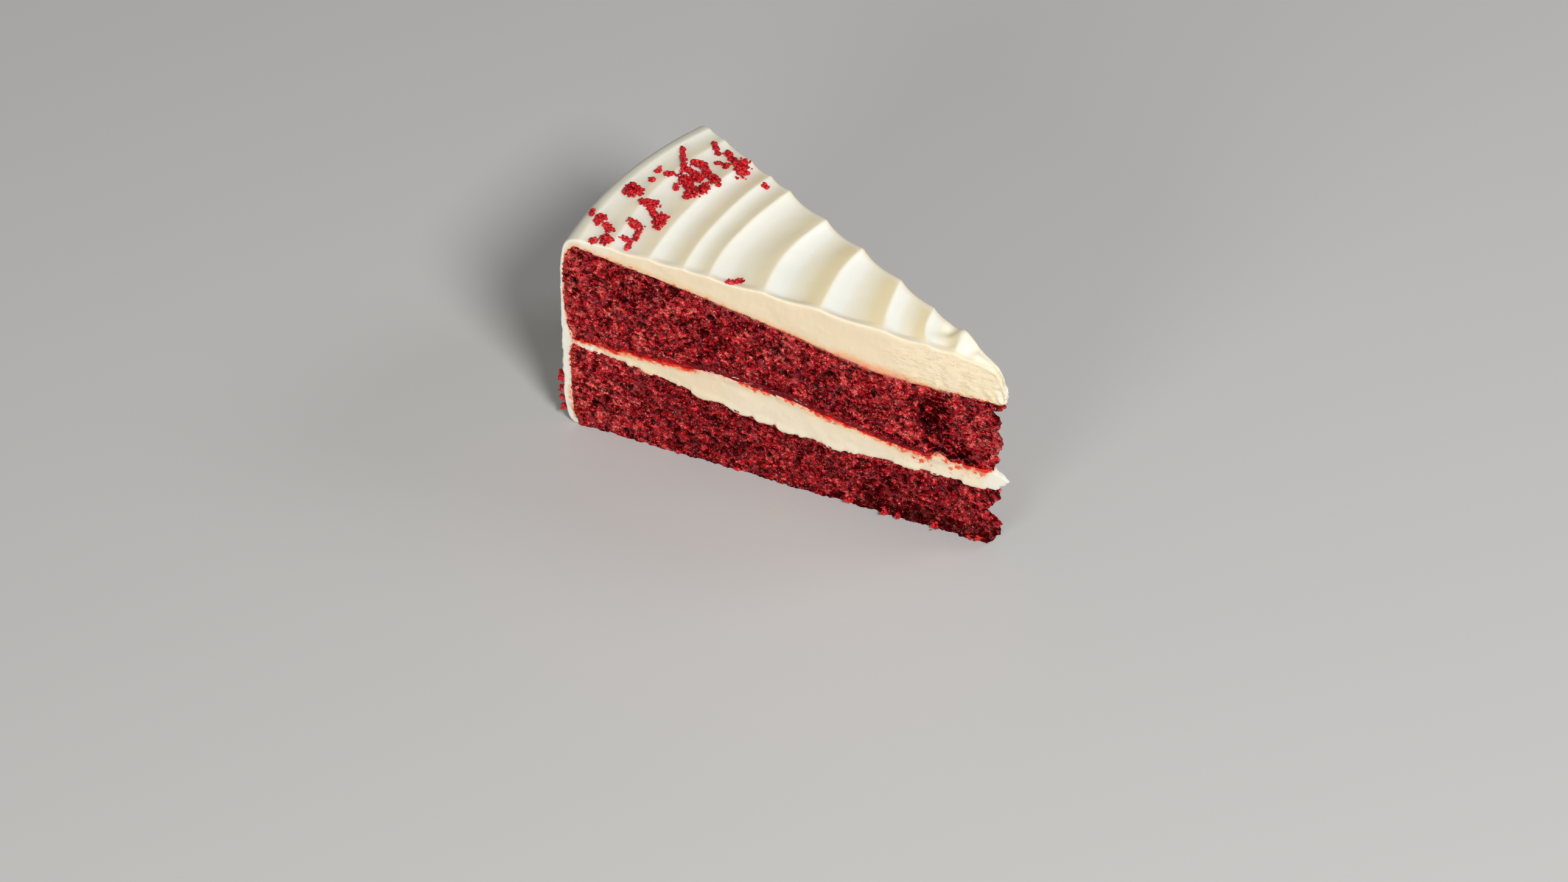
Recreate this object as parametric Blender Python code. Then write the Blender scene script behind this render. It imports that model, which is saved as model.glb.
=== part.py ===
"""One slice of a round two-layer red velvet cake, in metres, +Z up.

Four bodies, stacked with a small gap: the lower sponge, the cream filling, the
upper sponge, and the frosting, which covers the top and runs down the outer rim.
Each is worked out in wedge coordinates: r is the distance from the cake's axis at
the tip of the slice, and t runs across the slice from one cut face (0) to the
other (1). The tip points along +X, and the slice rests on z = 0 with the middle of
its plan at the origin.
"""

import math
import random

import bmesh
import bpy
import numpy as np
from mathutils import Vector, noise

MM = 0.001
GAP = 0.3 * MM  # clearance between two touching bodies
WALL_GAP = 0.36 * MM  # the same at the curved rim

# Driving dimensions
CAKE_RADIUS = 140.0 * MM  # the whole cake, at the outer edge of its sponge
SLICE_ANGLE = math.radians(27.7)
CREST_HEIGHT = 79.8 * MM  # top of the frosting's ridges
FAR_SHRINK = 0.013  # how much shorter the radius is at the far cut's rim than at the near cut's
TIP_WIDTH = 1.9 * MM  # the blunt end of the wedge
TIP_TAPER = 6 * MM  # distance past the axis over which that end narrows to nothing

# Steps of the meshes
R_STEPS = 42
T_STEPS = (0.0, 0.07, 0.26, 0.5, 0.74, 0.93, 1.0)
LOWER_LEVELS = (0.0, 0.1, 0.22, 0.38, 0.51, 0.62, 0.74, 0.87, 1.0)
UPPER_LEVELS = (0.0, 0.14, 0.28, 0.42, 0.53, 0.63, 0.75, 0.84, 0.92, 1.0)
FILLING_LEVELS = (0.0, 0.5, 1.0)

# Torn crumb of the cut faces: (spacing, height), in two sizes
COARSE_RELIEF = (7 * MM, 0.45 * MM)
FINE_RELIEF = (2.6 * MM, 0.55 * MM)
CREAM_RELIEF = 0.3  # the filling's relief, as a share of the sponge's
THIN_WEDGE = 8 * MM  # width of the slice under which the relief fades out

# Layers: (distance from the rim, height), both in mm
LOWER_SPONGE_TOP = ((2, 35.2), (20, 33), (42, 29.3), (70, 24.2), (92, 22.5), (106, 23.6), (140, 24.2))
UPPER_SPONGE_BOTTOM = ((2, 37.0), (30, 37.6), (52, 38.8), (72, 36.8), (95, 33), (115, 30.2), (140, 31.6))
UPPER_SPONGE_TOP = ((4, 76.6), (20, 74.6), (50, 69.9), (80, 64), (98, 60.2), (125, 60.2), (140, 61.2))

# Outer edge of the sponges under the side frosting: (height, radius), both in mm
SPONGE_RIM = ((0, 136.4), (2, 137.6), (12, 138.5), (30, 138.5), (36, 137), (42, 138.4), (52, 139.8),
              (64, 139.8), (71, 139.2), (74.5, 137.6), (76.8, 135.4))
# Outer face of the side frosting: (height, radius), both in mm
FROSTING_RIM = ((79.0, 136.6), (78.0, 138.2), (76.2, 139.5), (72, 140.4), (64, 141.2), (50, 141.5),
                (34, 141.4), (18, 141.6), (8, 141.2), (3, 140.6), (0.8, 139.4), (0.3, 138.0))

# Ragged end of each layer at the tip: (height, distance from the axis), both in mm,
# where a distance under 0 is past the axis
LOWER_TIP = ((0, 2.2), (3, 0.2), (5.5, -1.4), (9.5, -1.6), (12.5, 3.4), (15, 2.4), (18, 0.8), (21, -1.0),
             (24.2, 0.2))
UPPER_TIP = ((31.6, 2.0), (36, 1.4), (40, 0.4), (45, -0.4), (47.5, 1.8), (50.5, 0.5), (54, 0.6), (56.6, 5.0),
             (58.4, -0.8), (61.2, 0.0))
FILLING_TIP = ((24.4, 0.6), (28.2, -3.8), (31.4, 1.2))
FROSTING_TIP = ((62.0, -1.9), (64.5, -1.5), (67, -0.9), (70, -0.1), (72.5, 0.8), (74.6, 2.4))

# Combed top of the frosting. Each ridge: (radius at the near cut, radius at the far cut), in mm
RIDGES = ((14, 16.5), (24, 31), (37.5, 45.5), (58, 63.2), (76.5, 80.5), (93, 96.7), (101, 105), (112, 114),
          (124.5, 126.5), (134.5, 134.5))
# Depth in mm of the groove outside each ridge, towards the rim
GROOVES = (1.3, 1.5, 1.9, 1.9, 1.8, 0.9, 1.1, 0.8, 0.5)
GROOVE_STEPS = (1.0, 0.86, 0.65, 0.35, 0.1)  # shares of the way from a groove's outer ridge to its inner one
GROOVE_DEEPEST = 0.38  # where on that way a groove is deepest
GROOVE_CURVE = 0.9  # under 1 makes the ridges sharp
CUT_SMEAR = 5 * MM  # width beside the near cut in which the knife has flattened the grooves
CUT_GROOVE = 0.3  # share of a groove's depth that is left at that cut
# How far the ridges lie under CREST_HEIGHT, as the top slopes down to the tip: (radius, drop), both in mm
TOP_DROP = ((2.4, 5.0), (8, 3.2), (15, 1.8), (30, 1.9), (45, 1.0), (60, 0.4), (90, 0.0), (128, 0.0),
            (134.5, 0.2))
TIP_TILT = 3.0 * MM  # how much higher the far side of the top is at the tip
RIM_TILT = 1.7 * MM  # how much lower the far side of the top is at the rim
LEVEL_RADIUS = 60 * MM  # distance from the axis where the top is level across
SHOULDER_HEIGHT = 60 * MM  # height above which the side frosting follows the tilt of the top
EDGE_DROP = 0.22 / MM  # fall of the rounded rim for each squared metre outside the last ridge

# Crumbs on the top, as strokes of a wide or narrow trail: (x0, y0, x1, y1, width) in mm from the axis
CRUMB_TRAILS = (
    (-123.3, 26.6, -120.3, 23.8, 2.0), (-118.0, 26.0, -112.0, 22.8, 2.4),
    (-110.8, 24.0, -108.6, 20.6, 4.4), (-118.0, 20.1, -116.5, 20.5, 1.6),
    (-114.6, 21.3, -114.4, 20.1, 1.8), (-100.0, 20.6, -99.6, 20.2, 1.8),
    (-129.8, 18.8, -124.0, 11.8, 1.8), (-123.0, 15.8, -119.5, 16.8, 3.0),
    (-118.0, 14.8, -112.0, 12.3, 3.2), (-123.0, 11.8, -117.5, 11.8, 3.0),
    (-122.0, 8.8, -114.0, 4.3, 3.8), (-114.0, 9.3, -113.0, 6.3, 3.0),
    (-117.0, 4.3, -115.5, 1.8, 2.2), (-129.8, 7.8, -129.6, 6.1, 1.6),
    (-127.0, 6.5, -125.2, 7.5, 1.8), (-129.5, 2.6, -128.3, 2.1, 1.8),
    (-122.3, 4.8, -120.6, 3.1, 1.6), (-132.5, -3.7, -128.0, -4.7, 3.4),
    (-132.5, -6.5, -129.5, -6.7, 2.8), (-125.0, -8.2, -121.0, -5.2, 2.6),
    (-121.5, -8.2, -118.0, -10.2, 2.6), (-116.5, -9.7, -115.0, -13.5, 4.0),
    (-136.4, -18.2, -134.2, -20.6, 1.8), (-131.0, -20.2, -130.7, -22.7, 3.0),
    (-128.0, -22.0, -125.0, -23.2, 2.6), (-122.5, -16.7, -119.5, -16.7, 3.0),
    (-118.5, -18.7, -117.3, -22.0, 1.8), (-120.5, -23.2, -117.2, -23.5, 1.8),
    (-117.4, -24.7, -116.8, -26.2, 1.8), (-124.5, -26.7, -123.0, -28.2, 3.6),
    (-127.0, -29.6, -126.0, -30.2, 2.2), (-82.6, -17.2, -83.3, -19.4, 1.9),
)
CRUMB_SPACING = 0.95  # distance between the crumbs of a trail, as a share of its width
CRUMB_SCATTER = 0.12  # how far they stray from the trail, as a share of its width
CRUMB_SIZES = (0.95, 1.25)  # smallest and largest crumb, as shares of the trail's width
CRUMB_CORNERS = (0.78, 1.2)  # how near and far a crumb's corners are, as shares of its radius
CRUMB_LIFT = 0.08  # height of a crumb's middle over the frosting, as a share of its width
# Crumbs on the side frosting near the foot: (t, height in mm, width in mm)
WALL_CRUMBS = ((0.03, 17.5, 3.4), (0.025, 12.5, 2.8), (0.03, 9.0, 4.0), (0.03, 4.5, 3.2))
WALL_CRUMB_RADIUS = 142.0 * MM  # distance of their middles from the axis
# Crumbs stuck out of the near cut at the foot of the lower sponge: (distance from the tip, width), in mm
FOOT_CRUMBS = ((103, 2.2), (84, 2.0), (47, 3.0), (35, 3.6), (31, 2.6), (19, 3.6), (8, 2.4))

FOOT_CRUMB_LIFT = 0.63  # height of their middles over the floor, as a share of their width
FOOT_CRUMB_REACH = 0.15  # distance of their middles from the cut face, as a share of their width

SPONGE_COLOUR = (0.33, 0.012, 0.014)
CREAM_COLOUR = (0.86, 0.77, 0.60)
FOOD_ROUGHNESS = 0.5

HALF_ANGLE = SLICE_ANGLE / 2


def line(points):
    """A function through the given (place, value) points in mm, straight between them."""
    places, values = np.array(points, float).T * MM
    order = np.argsort(places)
    return lambda place: float(np.interp(place, places[order], values[order]))


def curve_from_rim(points):
    """A smooth function of the distance from the axis, through points counted from the rim in mm."""
    places, values = np.array(points, float).T * MM
    places = (CAKE_RADIUS - places)[::-1]
    values = values[::-1]
    slopes = np.gradient(values, places)

    def height(r):
        r = min(max(r, places[0]), places[-1])
        i = min(int(np.searchsorted(places, r, side="right")), len(places) - 1)
        span = places[i] - places[i - 1]
        u = (r - places[i - 1]) / span
        ease = u * u * (3 - 2 * u)
        bend = span * u * (1 - u) * (slopes[i - 1] * (1 - u) - slopes[i] * u)
        return float(values[i - 1] + (values[i] - values[i - 1]) * ease + bend)

    return height


lower_top = curve_from_rim(LOWER_SPONGE_TOP)
upper_bottom = curve_from_rim(UPPER_SPONGE_BOTTOM)
upper_top = curve_from_rim(UPPER_SPONGE_TOP)
sponge_rim = line(SPONGE_RIM)
top_drop = line(TOP_DROP)


def width(r):
    """Width of the slice across the wedge at distance r from the axis."""
    if r > 0:
        return math.hypot(2 * r * math.sin(HALF_ANGLE), TIP_WIDTH)
    return TIP_WIDTH * (1 + r / TIP_TAPER)


def shrink(r, t):
    """Share of its length that a radius keeps towards the far cut, where the rim is a little flat."""
    return 1 - FAR_SHRINK * t * t * (r / CAKE_RADIUS) ** 2


def place(r, t, z):
    """The point at distance r from the axis, share t of the way across, and height z."""
    r *= shrink(r, t)
    bulge = max(r, 0) * (1 - math.cos(HALF_ANGLE)) * (1 - (2 * t - 1) ** 2)
    x = -r * math.cos(HALF_ANGLE) - bulge
    y = -r * math.sin(HALF_ANGLE) + t * width(r)
    return Vector((x, y, z))


def cut_normal(t):
    """Outward direction of the near cut face (t = 0) or the far one (t = 1)."""
    side = -1 if t < 0.5 else 1
    return Vector((math.sin(HALF_ANGLE), side * math.cos(HALF_ANGLE), 0))


def crumb_relief(point):
    """How far the torn sponge stands out of its cut face at a point."""
    return sum(height * noise.noise(point / spacing) for spacing, height in (COARSE_RELIEF, FINE_RELIEF))


def box_shell(sizes, point):
    """Vertices and faces of the skin of a grid of cells, with point(i, j, k) as its corners."""
    index = {}
    vertices = []
    faces = []

    def vertex(key):
        if key not in index:
            index[key] = len(vertices)
            vertices.append(point(*key))
        return index[key]

    for axis in range(3):
        u, v = [a for a in range(3) if a != axis]
        for end in (0, sizes[axis]):
            for a in range(sizes[u]):
                for b in range(sizes[v]):
                    corners = []
                    for da, db in ((0, 0), (1, 0), (1, 1), (0, 1)):
                        key = [0, 0, 0]
                        key[axis] = end
                        key[u] = a + da
                        key[v] = b + db
                        corners.append(vertex(tuple(key)))
                    faces.append(corners)
    return vertices, faces


def make_body(name, vertices, faces, colour):
    """A mesh object with its faces turned outwards and its own material."""
    mesh = bpy.data.meshes.new(name)
    mesh.from_pydata([tuple(v) for v in vertices], [], faces)
    shape = bmesh.new()
    shape.from_mesh(mesh)
    bmesh.ops.recalc_face_normals(shape, faces=shape.faces)
    shape.to_mesh(mesh)
    shape.free()
    body = bpy.data.objects.new(name, mesh)
    bpy.context.scene.collection.objects.link(body)
    material = bpy.data.materials.new(name)
    material.use_nodes = True
    shader = material.node_tree.nodes["Principled BSDF"]
    shader.inputs["Base Color"].default_value = (*colour, 1)
    shader.inputs["Roughness"].default_value = FOOD_ROUGHNESS
    mesh.materials.append(material)
    return body


def r_share(i):
    """Stations along the slice, closer together at the tip."""
    u = i / R_STEPS
    return 0.55 * u + 0.45 * u * u


def layer(name, bottom, top, tip, rim, levels, relief, colour):
    """A layer between two height functions of r, from its ragged tip to its rim."""
    tip_reach = line(tip)
    tip_low, tip_high = tip[0][0] * MM, tip[-1][0] * MM

    def point(i, j, k):
        level = levels[k]
        r_tip = tip_reach(tip_low + level * (tip_high - tip_low))
        r = r_tip + (rim(level) - r_tip) * r_share(i)
        z = bottom(r) + level * (top(r) - bottom(r))
        spot = place(r, T_STEPS[j], z)
        if j in (0, len(T_STEPS) - 1):
            thin = min(1.0, width(r) / THIN_WEDGE) ** 2
            spot += relief * thin * crumb_relief(spot) * cut_normal(T_STEPS[j])
        return spot

    sizes = (R_STEPS, len(T_STEPS) - 1, len(levels) - 1)
    return make_body(name, *box_shell(sizes, point), colour)


def floor_line(r):
    return 0.0


def filling_bottom(r):
    return lower_top(r) + GAP


def filling_top(r):
    return upper_bottom(r) - GAP


def rim_point(bottom, top, level):
    """Radius and height where a sponge meets the side frosting, at a level of its rim."""
    low, high = bottom(CAKE_RADIUS), top(CAKE_RADIUS)
    z = low + level * (high - low)
    return sponge_rim(z), z


def lower_rim(level):
    return rim_point(floor_line, lower_top, level)[0]


def upper_rim(level):
    return rim_point(upper_bottom, upper_top, level)[0]


def filling_rim(level):
    return sponge_rim((lower_top(CAKE_RADIUS) + upper_bottom(CAKE_RADIUS)) / 2)


def ridge_radius(i, t):
    near, far = RIDGES[i]
    return (near + (far - near) * t) * MM


def groove_shape(u):
    """Depth share of a groove from its outer ridge (u = 0) to its inner one (u = 1)."""
    if not 0 < u < 1:
        return 0.0
    outer_way, inner_way = GROOVE_DEEPEST, 1 - GROOVE_DEEPEST
    return (u / outer_way) ** GROOVE_CURVE * ((1 - u) / inner_way) ** (GROOVE_CURVE * inner_way / outer_way)


def top_height(r, t):
    """Height of the combed top at distance r from the axis and share t across."""
    depth = 0.0
    for i, groove in enumerate(GROOVES):
        inner, outer = ridge_radius(i, t), ridge_radius(i + 1, t)
        if inner < r < outer:
            depth = groove * MM * groove_shape((outer - r) / (outer - inner))
    near_cut = min(1.0, CUT_GROOVE + t * width(r) / CUT_SMEAR)
    tip_tilt = TIP_TILT * (t - 0.5) * max(0.0, 1 - r / LEVEL_RADIUS)
    rim_tilt = RIM_TILT * t * t * max(0.0, (r - LEVEL_RADIUS) / (ridge_radius(-1, t) - LEVEL_RADIUS))
    return CREST_HEIGHT - top_drop(r) + tip_tilt - rim_tilt - depth * near_cut


def frosting_top(t):
    """(r, z) points along the top of the frosting, from the tip to the rim."""
    radii = [ridge_radius(0, t) * 0.55]
    for i in range(len(GROOVES)):
        inner, outer = ridge_radius(i, t), ridge_radius(i + 1, t)
        radii += [outer + (inner - outer) * u for u in GROOVE_STEPS]
    radii.append(ridge_radius(-1, t))
    return [(r, top_height(r, t)) for r in radii]


def frosting_outer_face(t):
    """(r, z) points down the rim, lower where the top is lower."""
    points = []
    for height, radius in FROSTING_RIM:
        share = max(0.0, (height * MM - SHOULDER_HEIGHT) / (CREST_HEIGHT - SHOULDER_HEIGHT))
        points.append((radius * MM, height * MM - RIM_TILT * t * t * share))
    return points


def frosting_inner_face():
    """(r, z) points up the sponges' rim, just outside them, from just over the floor."""
    points = [rim_point(floor_line, lower_top, level) for level in LOWER_LEVELS]
    points += [rim_point(upper_bottom, upper_top, level) for level in UPPER_LEVELS]
    return [(r + WALL_GAP, max(z, FROSTING_RIM[-1][0] * MM)) for r, z in points]


def frosting_underside():
    """(r, z) points over the upper sponge, from the rim to the tip."""
    r_tip = UPPER_TIP[-1][1] * MM
    radii = [r_tip + (upper_rim(1.0) - r_tip) * r_share(i) for i in range(R_STEPS, -1, -1)]
    return [(r, upper_top(r) + GAP) for r in radii]


def frosting_loop(t):
    """The frosting's whole section at share t across, as (r, z) points."""
    tip = [(radius * MM, height * MM) for height, radius in FROSTING_TIP]
    return frosting_top(t) + frosting_outer_face(t) + frosting_inner_face() + frosting_underside() + tip


def frosting():
    """The top and side frosting as one body: its section swept from one cut to the other."""
    loops = [frosting_loop(t) for t in T_STEPS]
    count = len(loops[0])
    vertices = [place(r, t, z) for t, loop in zip(T_STEPS, loops) for r, z in loop]
    faces = []
    for j in range(len(T_STEPS) - 1):
        for m in range(count):
            n = (m + 1) % count
            faces.append([j * count + m, j * count + n, (j + 1) * count + n, (j + 1) * count + m])
    faces.append(list(range(count)))
    faces.append(list(range((len(T_STEPS) - 1) * count, len(T_STEPS) * count)))
    return make_body("frosting", vertices, faces, CREAM_COLOUR)


def surface_height(x, y):
    """Height of the frosting's top over a point of the plan."""
    r = math.hypot(x, y)
    t = 0.5 + y / width(r)
    r /= shrink(r, t)
    flat_edge = ridge_radius(-1, t)
    beyond = max(0.0, r - flat_edge)
    return top_height(min(r, flat_edge), t) - EDGE_DROP * beyond * beyond


def crumb(centre, size, draw, collection):
    """One crumb: a small lump with uneven corners."""
    shape = bmesh.new()
    bmesh.ops.create_icosphere(shape, subdivisions=1, radius=size / 2)
    for vertex in shape.verts:
        vertex.co *= draw.uniform(*CRUMB_CORNERS)
    mesh = bpy.data.meshes.new("crumb")
    shape.to_mesh(mesh)
    shape.free()
    lump = bpy.data.objects.new("crumb", mesh)
    lump.rotation_euler = [draw.uniform(0, math.tau) for _ in range(3)]
    lump.location = centre
    collection.objects.link(lump)


def top_crumbs(draw, collection):
    """Crumbs along each trail, sunk by a third into the frosting."""
    for x0, y0, x1, y1, size in CRUMB_TRAILS:
        steps = 1 + round(math.hypot(x1 - x0, y1 - y0) / (CRUMB_SPACING * size))
        for n in range(steps):
            share = (n + 0.5) / steps
            stray = CRUMB_SCATTER * size
            x = (x0 + (x1 - x0) * share + draw.uniform(-stray, stray)) * MM
            y = (y0 + (y1 - y0) * share + draw.uniform(-stray, stray)) * MM
            lump = size * MM * draw.uniform(*CRUMB_SIZES)
            crumb((x, y, surface_height(x, y) + CRUMB_LIFT * lump), lump, draw, collection)


def wall_crumbs(draw, collection):
    """Crumbs stuck to the side frosting near the foot of one cut."""
    for t, height, size in WALL_CRUMBS:
        spot = place(WALL_CRUMB_RADIUS, t, height * MM)
        crumb(spot, size * MM, draw, collection)


def foot_crumbs(draw, collection):
    """Crumbs stuck out of the near cut face at the foot of the lower sponge."""
    for r, size in FOOT_CRUMBS:
        spot = place(r * MM, 0, FOOT_CRUMB_LIFT * size * MM) + FOOT_CRUMB_REACH * size * MM * cut_normal(0)
        crumb(spot, size * MM, draw, collection)


def fuse(body, makers, seed):
    """Joins a collection of crumbs to a body with one Boolean union, then removes them."""
    crumbs = bpy.data.collections.new("crumbs")
    bpy.context.scene.collection.children.link(crumbs)
    draw = random.Random(seed)
    for maker in makers:
        maker(draw, crumbs)
    union = body.modifiers.new("crumbs", "BOOLEAN")
    union.operation = "UNION"
    union.operand_type = "COLLECTION"
    union.solver = "EXACT"
    union.collection = crumbs
    with bpy.context.temp_override(object=body, active_object=body, selected_objects=[body]):
        bpy.ops.object.modifier_apply(modifier=union.name)
    for lump in list(crumbs.objects):
        bpy.data.objects.remove(lump)
    bpy.data.collections.remove(crumbs)


def centre_on_origin(bodies):
    """Moves all bodies so that the middle of their plan is at the origin and they rest on z = 0."""
    corners = np.array([v.co for body in bodies for v in body.data.vertices])
    low, high = corners.min(0), corners.max(0)
    shift = Vector((-(low[0] + high[0]) / 2, -(low[1] + high[1]) / 2, -low[2]))
    for body in bodies:
        for vertex in body.data.vertices:
            vertex.co += shift


def main():
    for old in list(bpy.data.objects):
        bpy.data.objects.remove(old)
    lower = layer("sponge_bottom", floor_line, lower_top, LOWER_TIP, lower_rim, LOWER_LEVELS,
                  1.0, SPONGE_COLOUR)
    filling = layer("cream_filling", filling_bottom, filling_top, FILLING_TIP, filling_rim, FILLING_LEVELS,
                    CREAM_RELIEF, CREAM_COLOUR)
    upper = layer("sponge_top", upper_bottom, upper_top, UPPER_TIP, upper_rim, UPPER_LEVELS,
                  1.0, SPONGE_COLOUR)
    cover = frosting()
    fuse(lower, [foot_crumbs], seed=5)
    fuse(cover, [top_crumbs, wall_crumbs], seed=11)
    centre_on_origin([lower, filling, upper, cover])


main()
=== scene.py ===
"""The looks of one slice of red velvet cake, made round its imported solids.

Each layer is made again as a fine mesh in the wedge coordinates of its solid: r is the
distance from the cake's axis at the tip, t runs across the slice from the near cut (0) to
the far cut (1), and z is the height. Shapes are worked out in millimetres and turned into
metres when a mesh is made. Every mesh carries what its material needs to know of its shape,
such as how deep in a pore a point lies, as named attributes.
"""

import math

import bmesh
import bpy
import numpy as np
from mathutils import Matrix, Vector


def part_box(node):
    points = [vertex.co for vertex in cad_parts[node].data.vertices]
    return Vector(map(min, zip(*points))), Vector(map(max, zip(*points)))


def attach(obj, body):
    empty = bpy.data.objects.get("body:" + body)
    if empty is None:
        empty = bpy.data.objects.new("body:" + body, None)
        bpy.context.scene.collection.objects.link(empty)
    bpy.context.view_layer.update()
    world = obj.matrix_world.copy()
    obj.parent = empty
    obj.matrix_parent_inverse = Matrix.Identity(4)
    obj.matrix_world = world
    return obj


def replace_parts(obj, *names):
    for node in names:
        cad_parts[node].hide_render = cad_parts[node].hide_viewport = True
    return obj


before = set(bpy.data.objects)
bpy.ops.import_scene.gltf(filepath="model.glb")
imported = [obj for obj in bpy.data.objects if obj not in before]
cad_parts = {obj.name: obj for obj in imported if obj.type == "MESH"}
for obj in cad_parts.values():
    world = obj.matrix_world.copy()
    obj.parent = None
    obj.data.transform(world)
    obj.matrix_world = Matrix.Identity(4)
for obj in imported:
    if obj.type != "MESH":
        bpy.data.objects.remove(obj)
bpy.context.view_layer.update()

MM = 0.001

# The slice, as its solids have it
CAKE_RADIUS = 140.0
HALF_ANGLE = math.radians(27.7) / 2
CREST_HEIGHT = 79.8
FAR_SHRINK = 0.013  # by which the rim comes in towards the far cut
TIP_WIDTH = 1.9
TIP_TAPER = 6.0  # past the axis, where the tip comes to a point
WIDEST_RADIUS = 141.6  # of the side frosting

# Layers: (distance from the rim, height)
LOWER_SPONGE_TOP = ((2, 35.2), (20, 33), (42, 29.3), (70, 24.2), (92, 22.5), (106, 23.6), (140, 24.2))
UPPER_SPONGE_BOTTOM = ((2, 37.0), (30, 37.6), (52, 38.8), (72, 36.8), (95, 33), (115, 30.2), (140, 31.6))
UPPER_SPONGE_TOP = ((4, 76.6), (20, 74.6), (50, 69.9), (80, 64), (98, 60.2), (125, 60.2), (140, 61.2))

# Outlines: (height, distance from the axis)
SPONGE_RIM = ((0, 136.4), (2, 137.6), (12, 138.5), (30, 138.5), (36, 137), (42, 138.4), (52, 139.8),
              (64, 139.8), (71, 139.2), (74.5, 137.6), (76.8, 135.4))
FROSTING_RIM = ((79.0, 136.6), (78.0, 138.2), (76.2, 139.5), (72, 140.4), (64, 141.2), (50, 141.5),
                (34, 141.4), (18, 141.6), (8, 141.2), (3, 140.6), (0.8, 139.4), (0.3, 138.0))
LOWER_TIP = ((0, 2.2), (3, 0.2), (5.5, -1.4), (9.5, -1.6), (12.5, 3.4), (15, 2.4), (18, 0.8), (21, -1.0),
             (24.2, 0.2))
UPPER_TIP = ((31.6, 2.0), (36, 1.4), (40, 0.4), (45, -0.4), (47.5, 1.8), (50.5, 0.5), (54, 0.6),
             (56.6, 5.0), (58.4, -0.8), (61.2, 0.0))
FILLING_TIP = ((24.4, 0.6), (28.2, -3.8), (31.4, 1.2))
FROSTING_TIP = ((62.0, -1.9), (64.5, -1.5), (67, -0.9), (70, -0.1), (72.5, 0.8), (74.6, 2.4))

RIM_SWELL = 0.45  # by which the torn crumb reaches past its solid's rim, into the frosting

# Combed top: each ridge's radius at the near and at the far cut, and each groove's depth
RIDGES = ((14, 16.5), (23, 30), (36, 44.2), (57, 61.4), (75.2, 78.6), (92.2, 95.5), (100.3, 104.2),
          (111.6, 113.6), (124.5, 126.5), (134.5, 134.5))
GROOVES = (1.3, 1.5, 1.9, 1.9, 1.8, 0.9, 1.1, 0.8, 0.5)
GROOVE_DEEPEST = 0.38  # where a groove is deepest, from its outer ridge
GROOVE_CURVE = 0.9
CUT_SMEAR = 2.6  # strip beside the near cut where the knife filled the grooves
CUT_GROOVE = 0.5  # share of their depth that is left there
TOP_DROP = ((2.4, 5.0), (8, 3.2), (15, 1.8), (30, 1.9), (45, 1.0), (60, 0.4), (90, 0.0), (128, 0.0),
            (134.5, 0.2))
TIP_TILT = 3.0  # rise of the top towards the far cut at the tip
RIM_TILT = 1.7  # and its fall at the rim
LEVEL_RADIUS = 60.0  # where there is neither
SHOULDER_HEIGHT = 60.0
EDGE_DROP = 0.22  # of the top past its last ridge, for each square millimetre

# Crumbs on the top: (x0, y0, x1, y1, width) of each trail, from the axis
CRUMB_TRAILS = (
    (-123.3, 26.6, -120.3, 23.8, 2.0), (-118.0, 26.0, -112.0, 22.8, 2.4),
    (-110.8, 24.0, -108.6, 20.6, 4.4), (-118.0, 20.1, -116.5, 20.5, 1.6),
    (-114.6, 21.3, -114.4, 20.1, 1.8), (-100.0, 20.6, -99.6, 20.2, 1.8),
    (-129.8, 18.8, -124.0, 11.8, 1.8), (-123.0, 15.8, -119.5, 16.8, 3.0),
    (-118.0, 14.8, -112.0, 12.3, 3.2), (-123.0, 11.8, -117.5, 11.8, 3.0),
    (-122.0, 8.8, -114.0, 4.3, 3.8), (-114.0, 9.3, -113.0, 6.3, 3.0),
    (-117.0, 4.3, -115.5, 1.8, 2.2), (-129.8, 7.8, -129.6, 6.1, 1.6),
    (-127.0, 6.5, -125.2, 7.5, 1.8), (-129.5, 2.6, -128.3, 2.1, 1.8),
    (-122.3, 4.8, -120.6, 3.1, 1.6), (-132.5, -3.7, -128.0, -4.7, 3.4),
    (-132.5, -6.5, -129.5, -6.7, 2.8), (-125.0, -8.2, -121.0, -5.2, 2.6),
    (-121.5, -8.2, -118.0, -10.2, 2.6), (-116.5, -9.7, -115.0, -13.5, 4.0),
    (-136.4, -18.2, -134.2, -20.6, 1.8), (-131.0, -20.2, -130.7, -22.7, 3.0),
    (-128.0, -22.0, -125.0, -23.2, 2.6), (-122.5, -16.7, -119.5, -16.7, 3.0),
    (-118.5, -18.7, -117.3, -22.0, 1.8), (-120.5, -23.2, -117.2, -23.5, 1.8),
    (-117.4, -24.7, -116.8, -26.2, 1.8), (-124.5, -26.7, -123.0, -28.2, 3.6),
    (-127.0, -29.6, -126.0, -30.2, 2.2), (-81.6, -16.4, -84.0, -20.0, 1.7),
    (-119.0, 10.9, -117.2, 10.2, 2.8),
)
WALL_CRUMBS = ((0.02, 17.6, 2.6), (0.01, 12.4, 1.5), (0.035, 10.6, 2.4), (0.01, 9.2, 1.8), (0.02, 4.6, 2.2))
WALL_CRUMB_RADIUS = 142.2
FOOT_CRUMBS = ((5.2, 2.6), (103, 2.2), (84, 2.0), (47, 3.0), (35, 3.6), (31, 2.6), (19, 3.6), (8, 2.4))

# Steps of the fine meshes
SPONGE_STEPS = (360, 8, 100)  # along, across, up
FILLING_STEPS = (340, 8, 26)
FROSTING_STEPS = (300, 20, 74)  # along the top, through, across
WALL_STEPS = 90  # down the rim
NOSE_STEPS = 26  # up the tip

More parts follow.
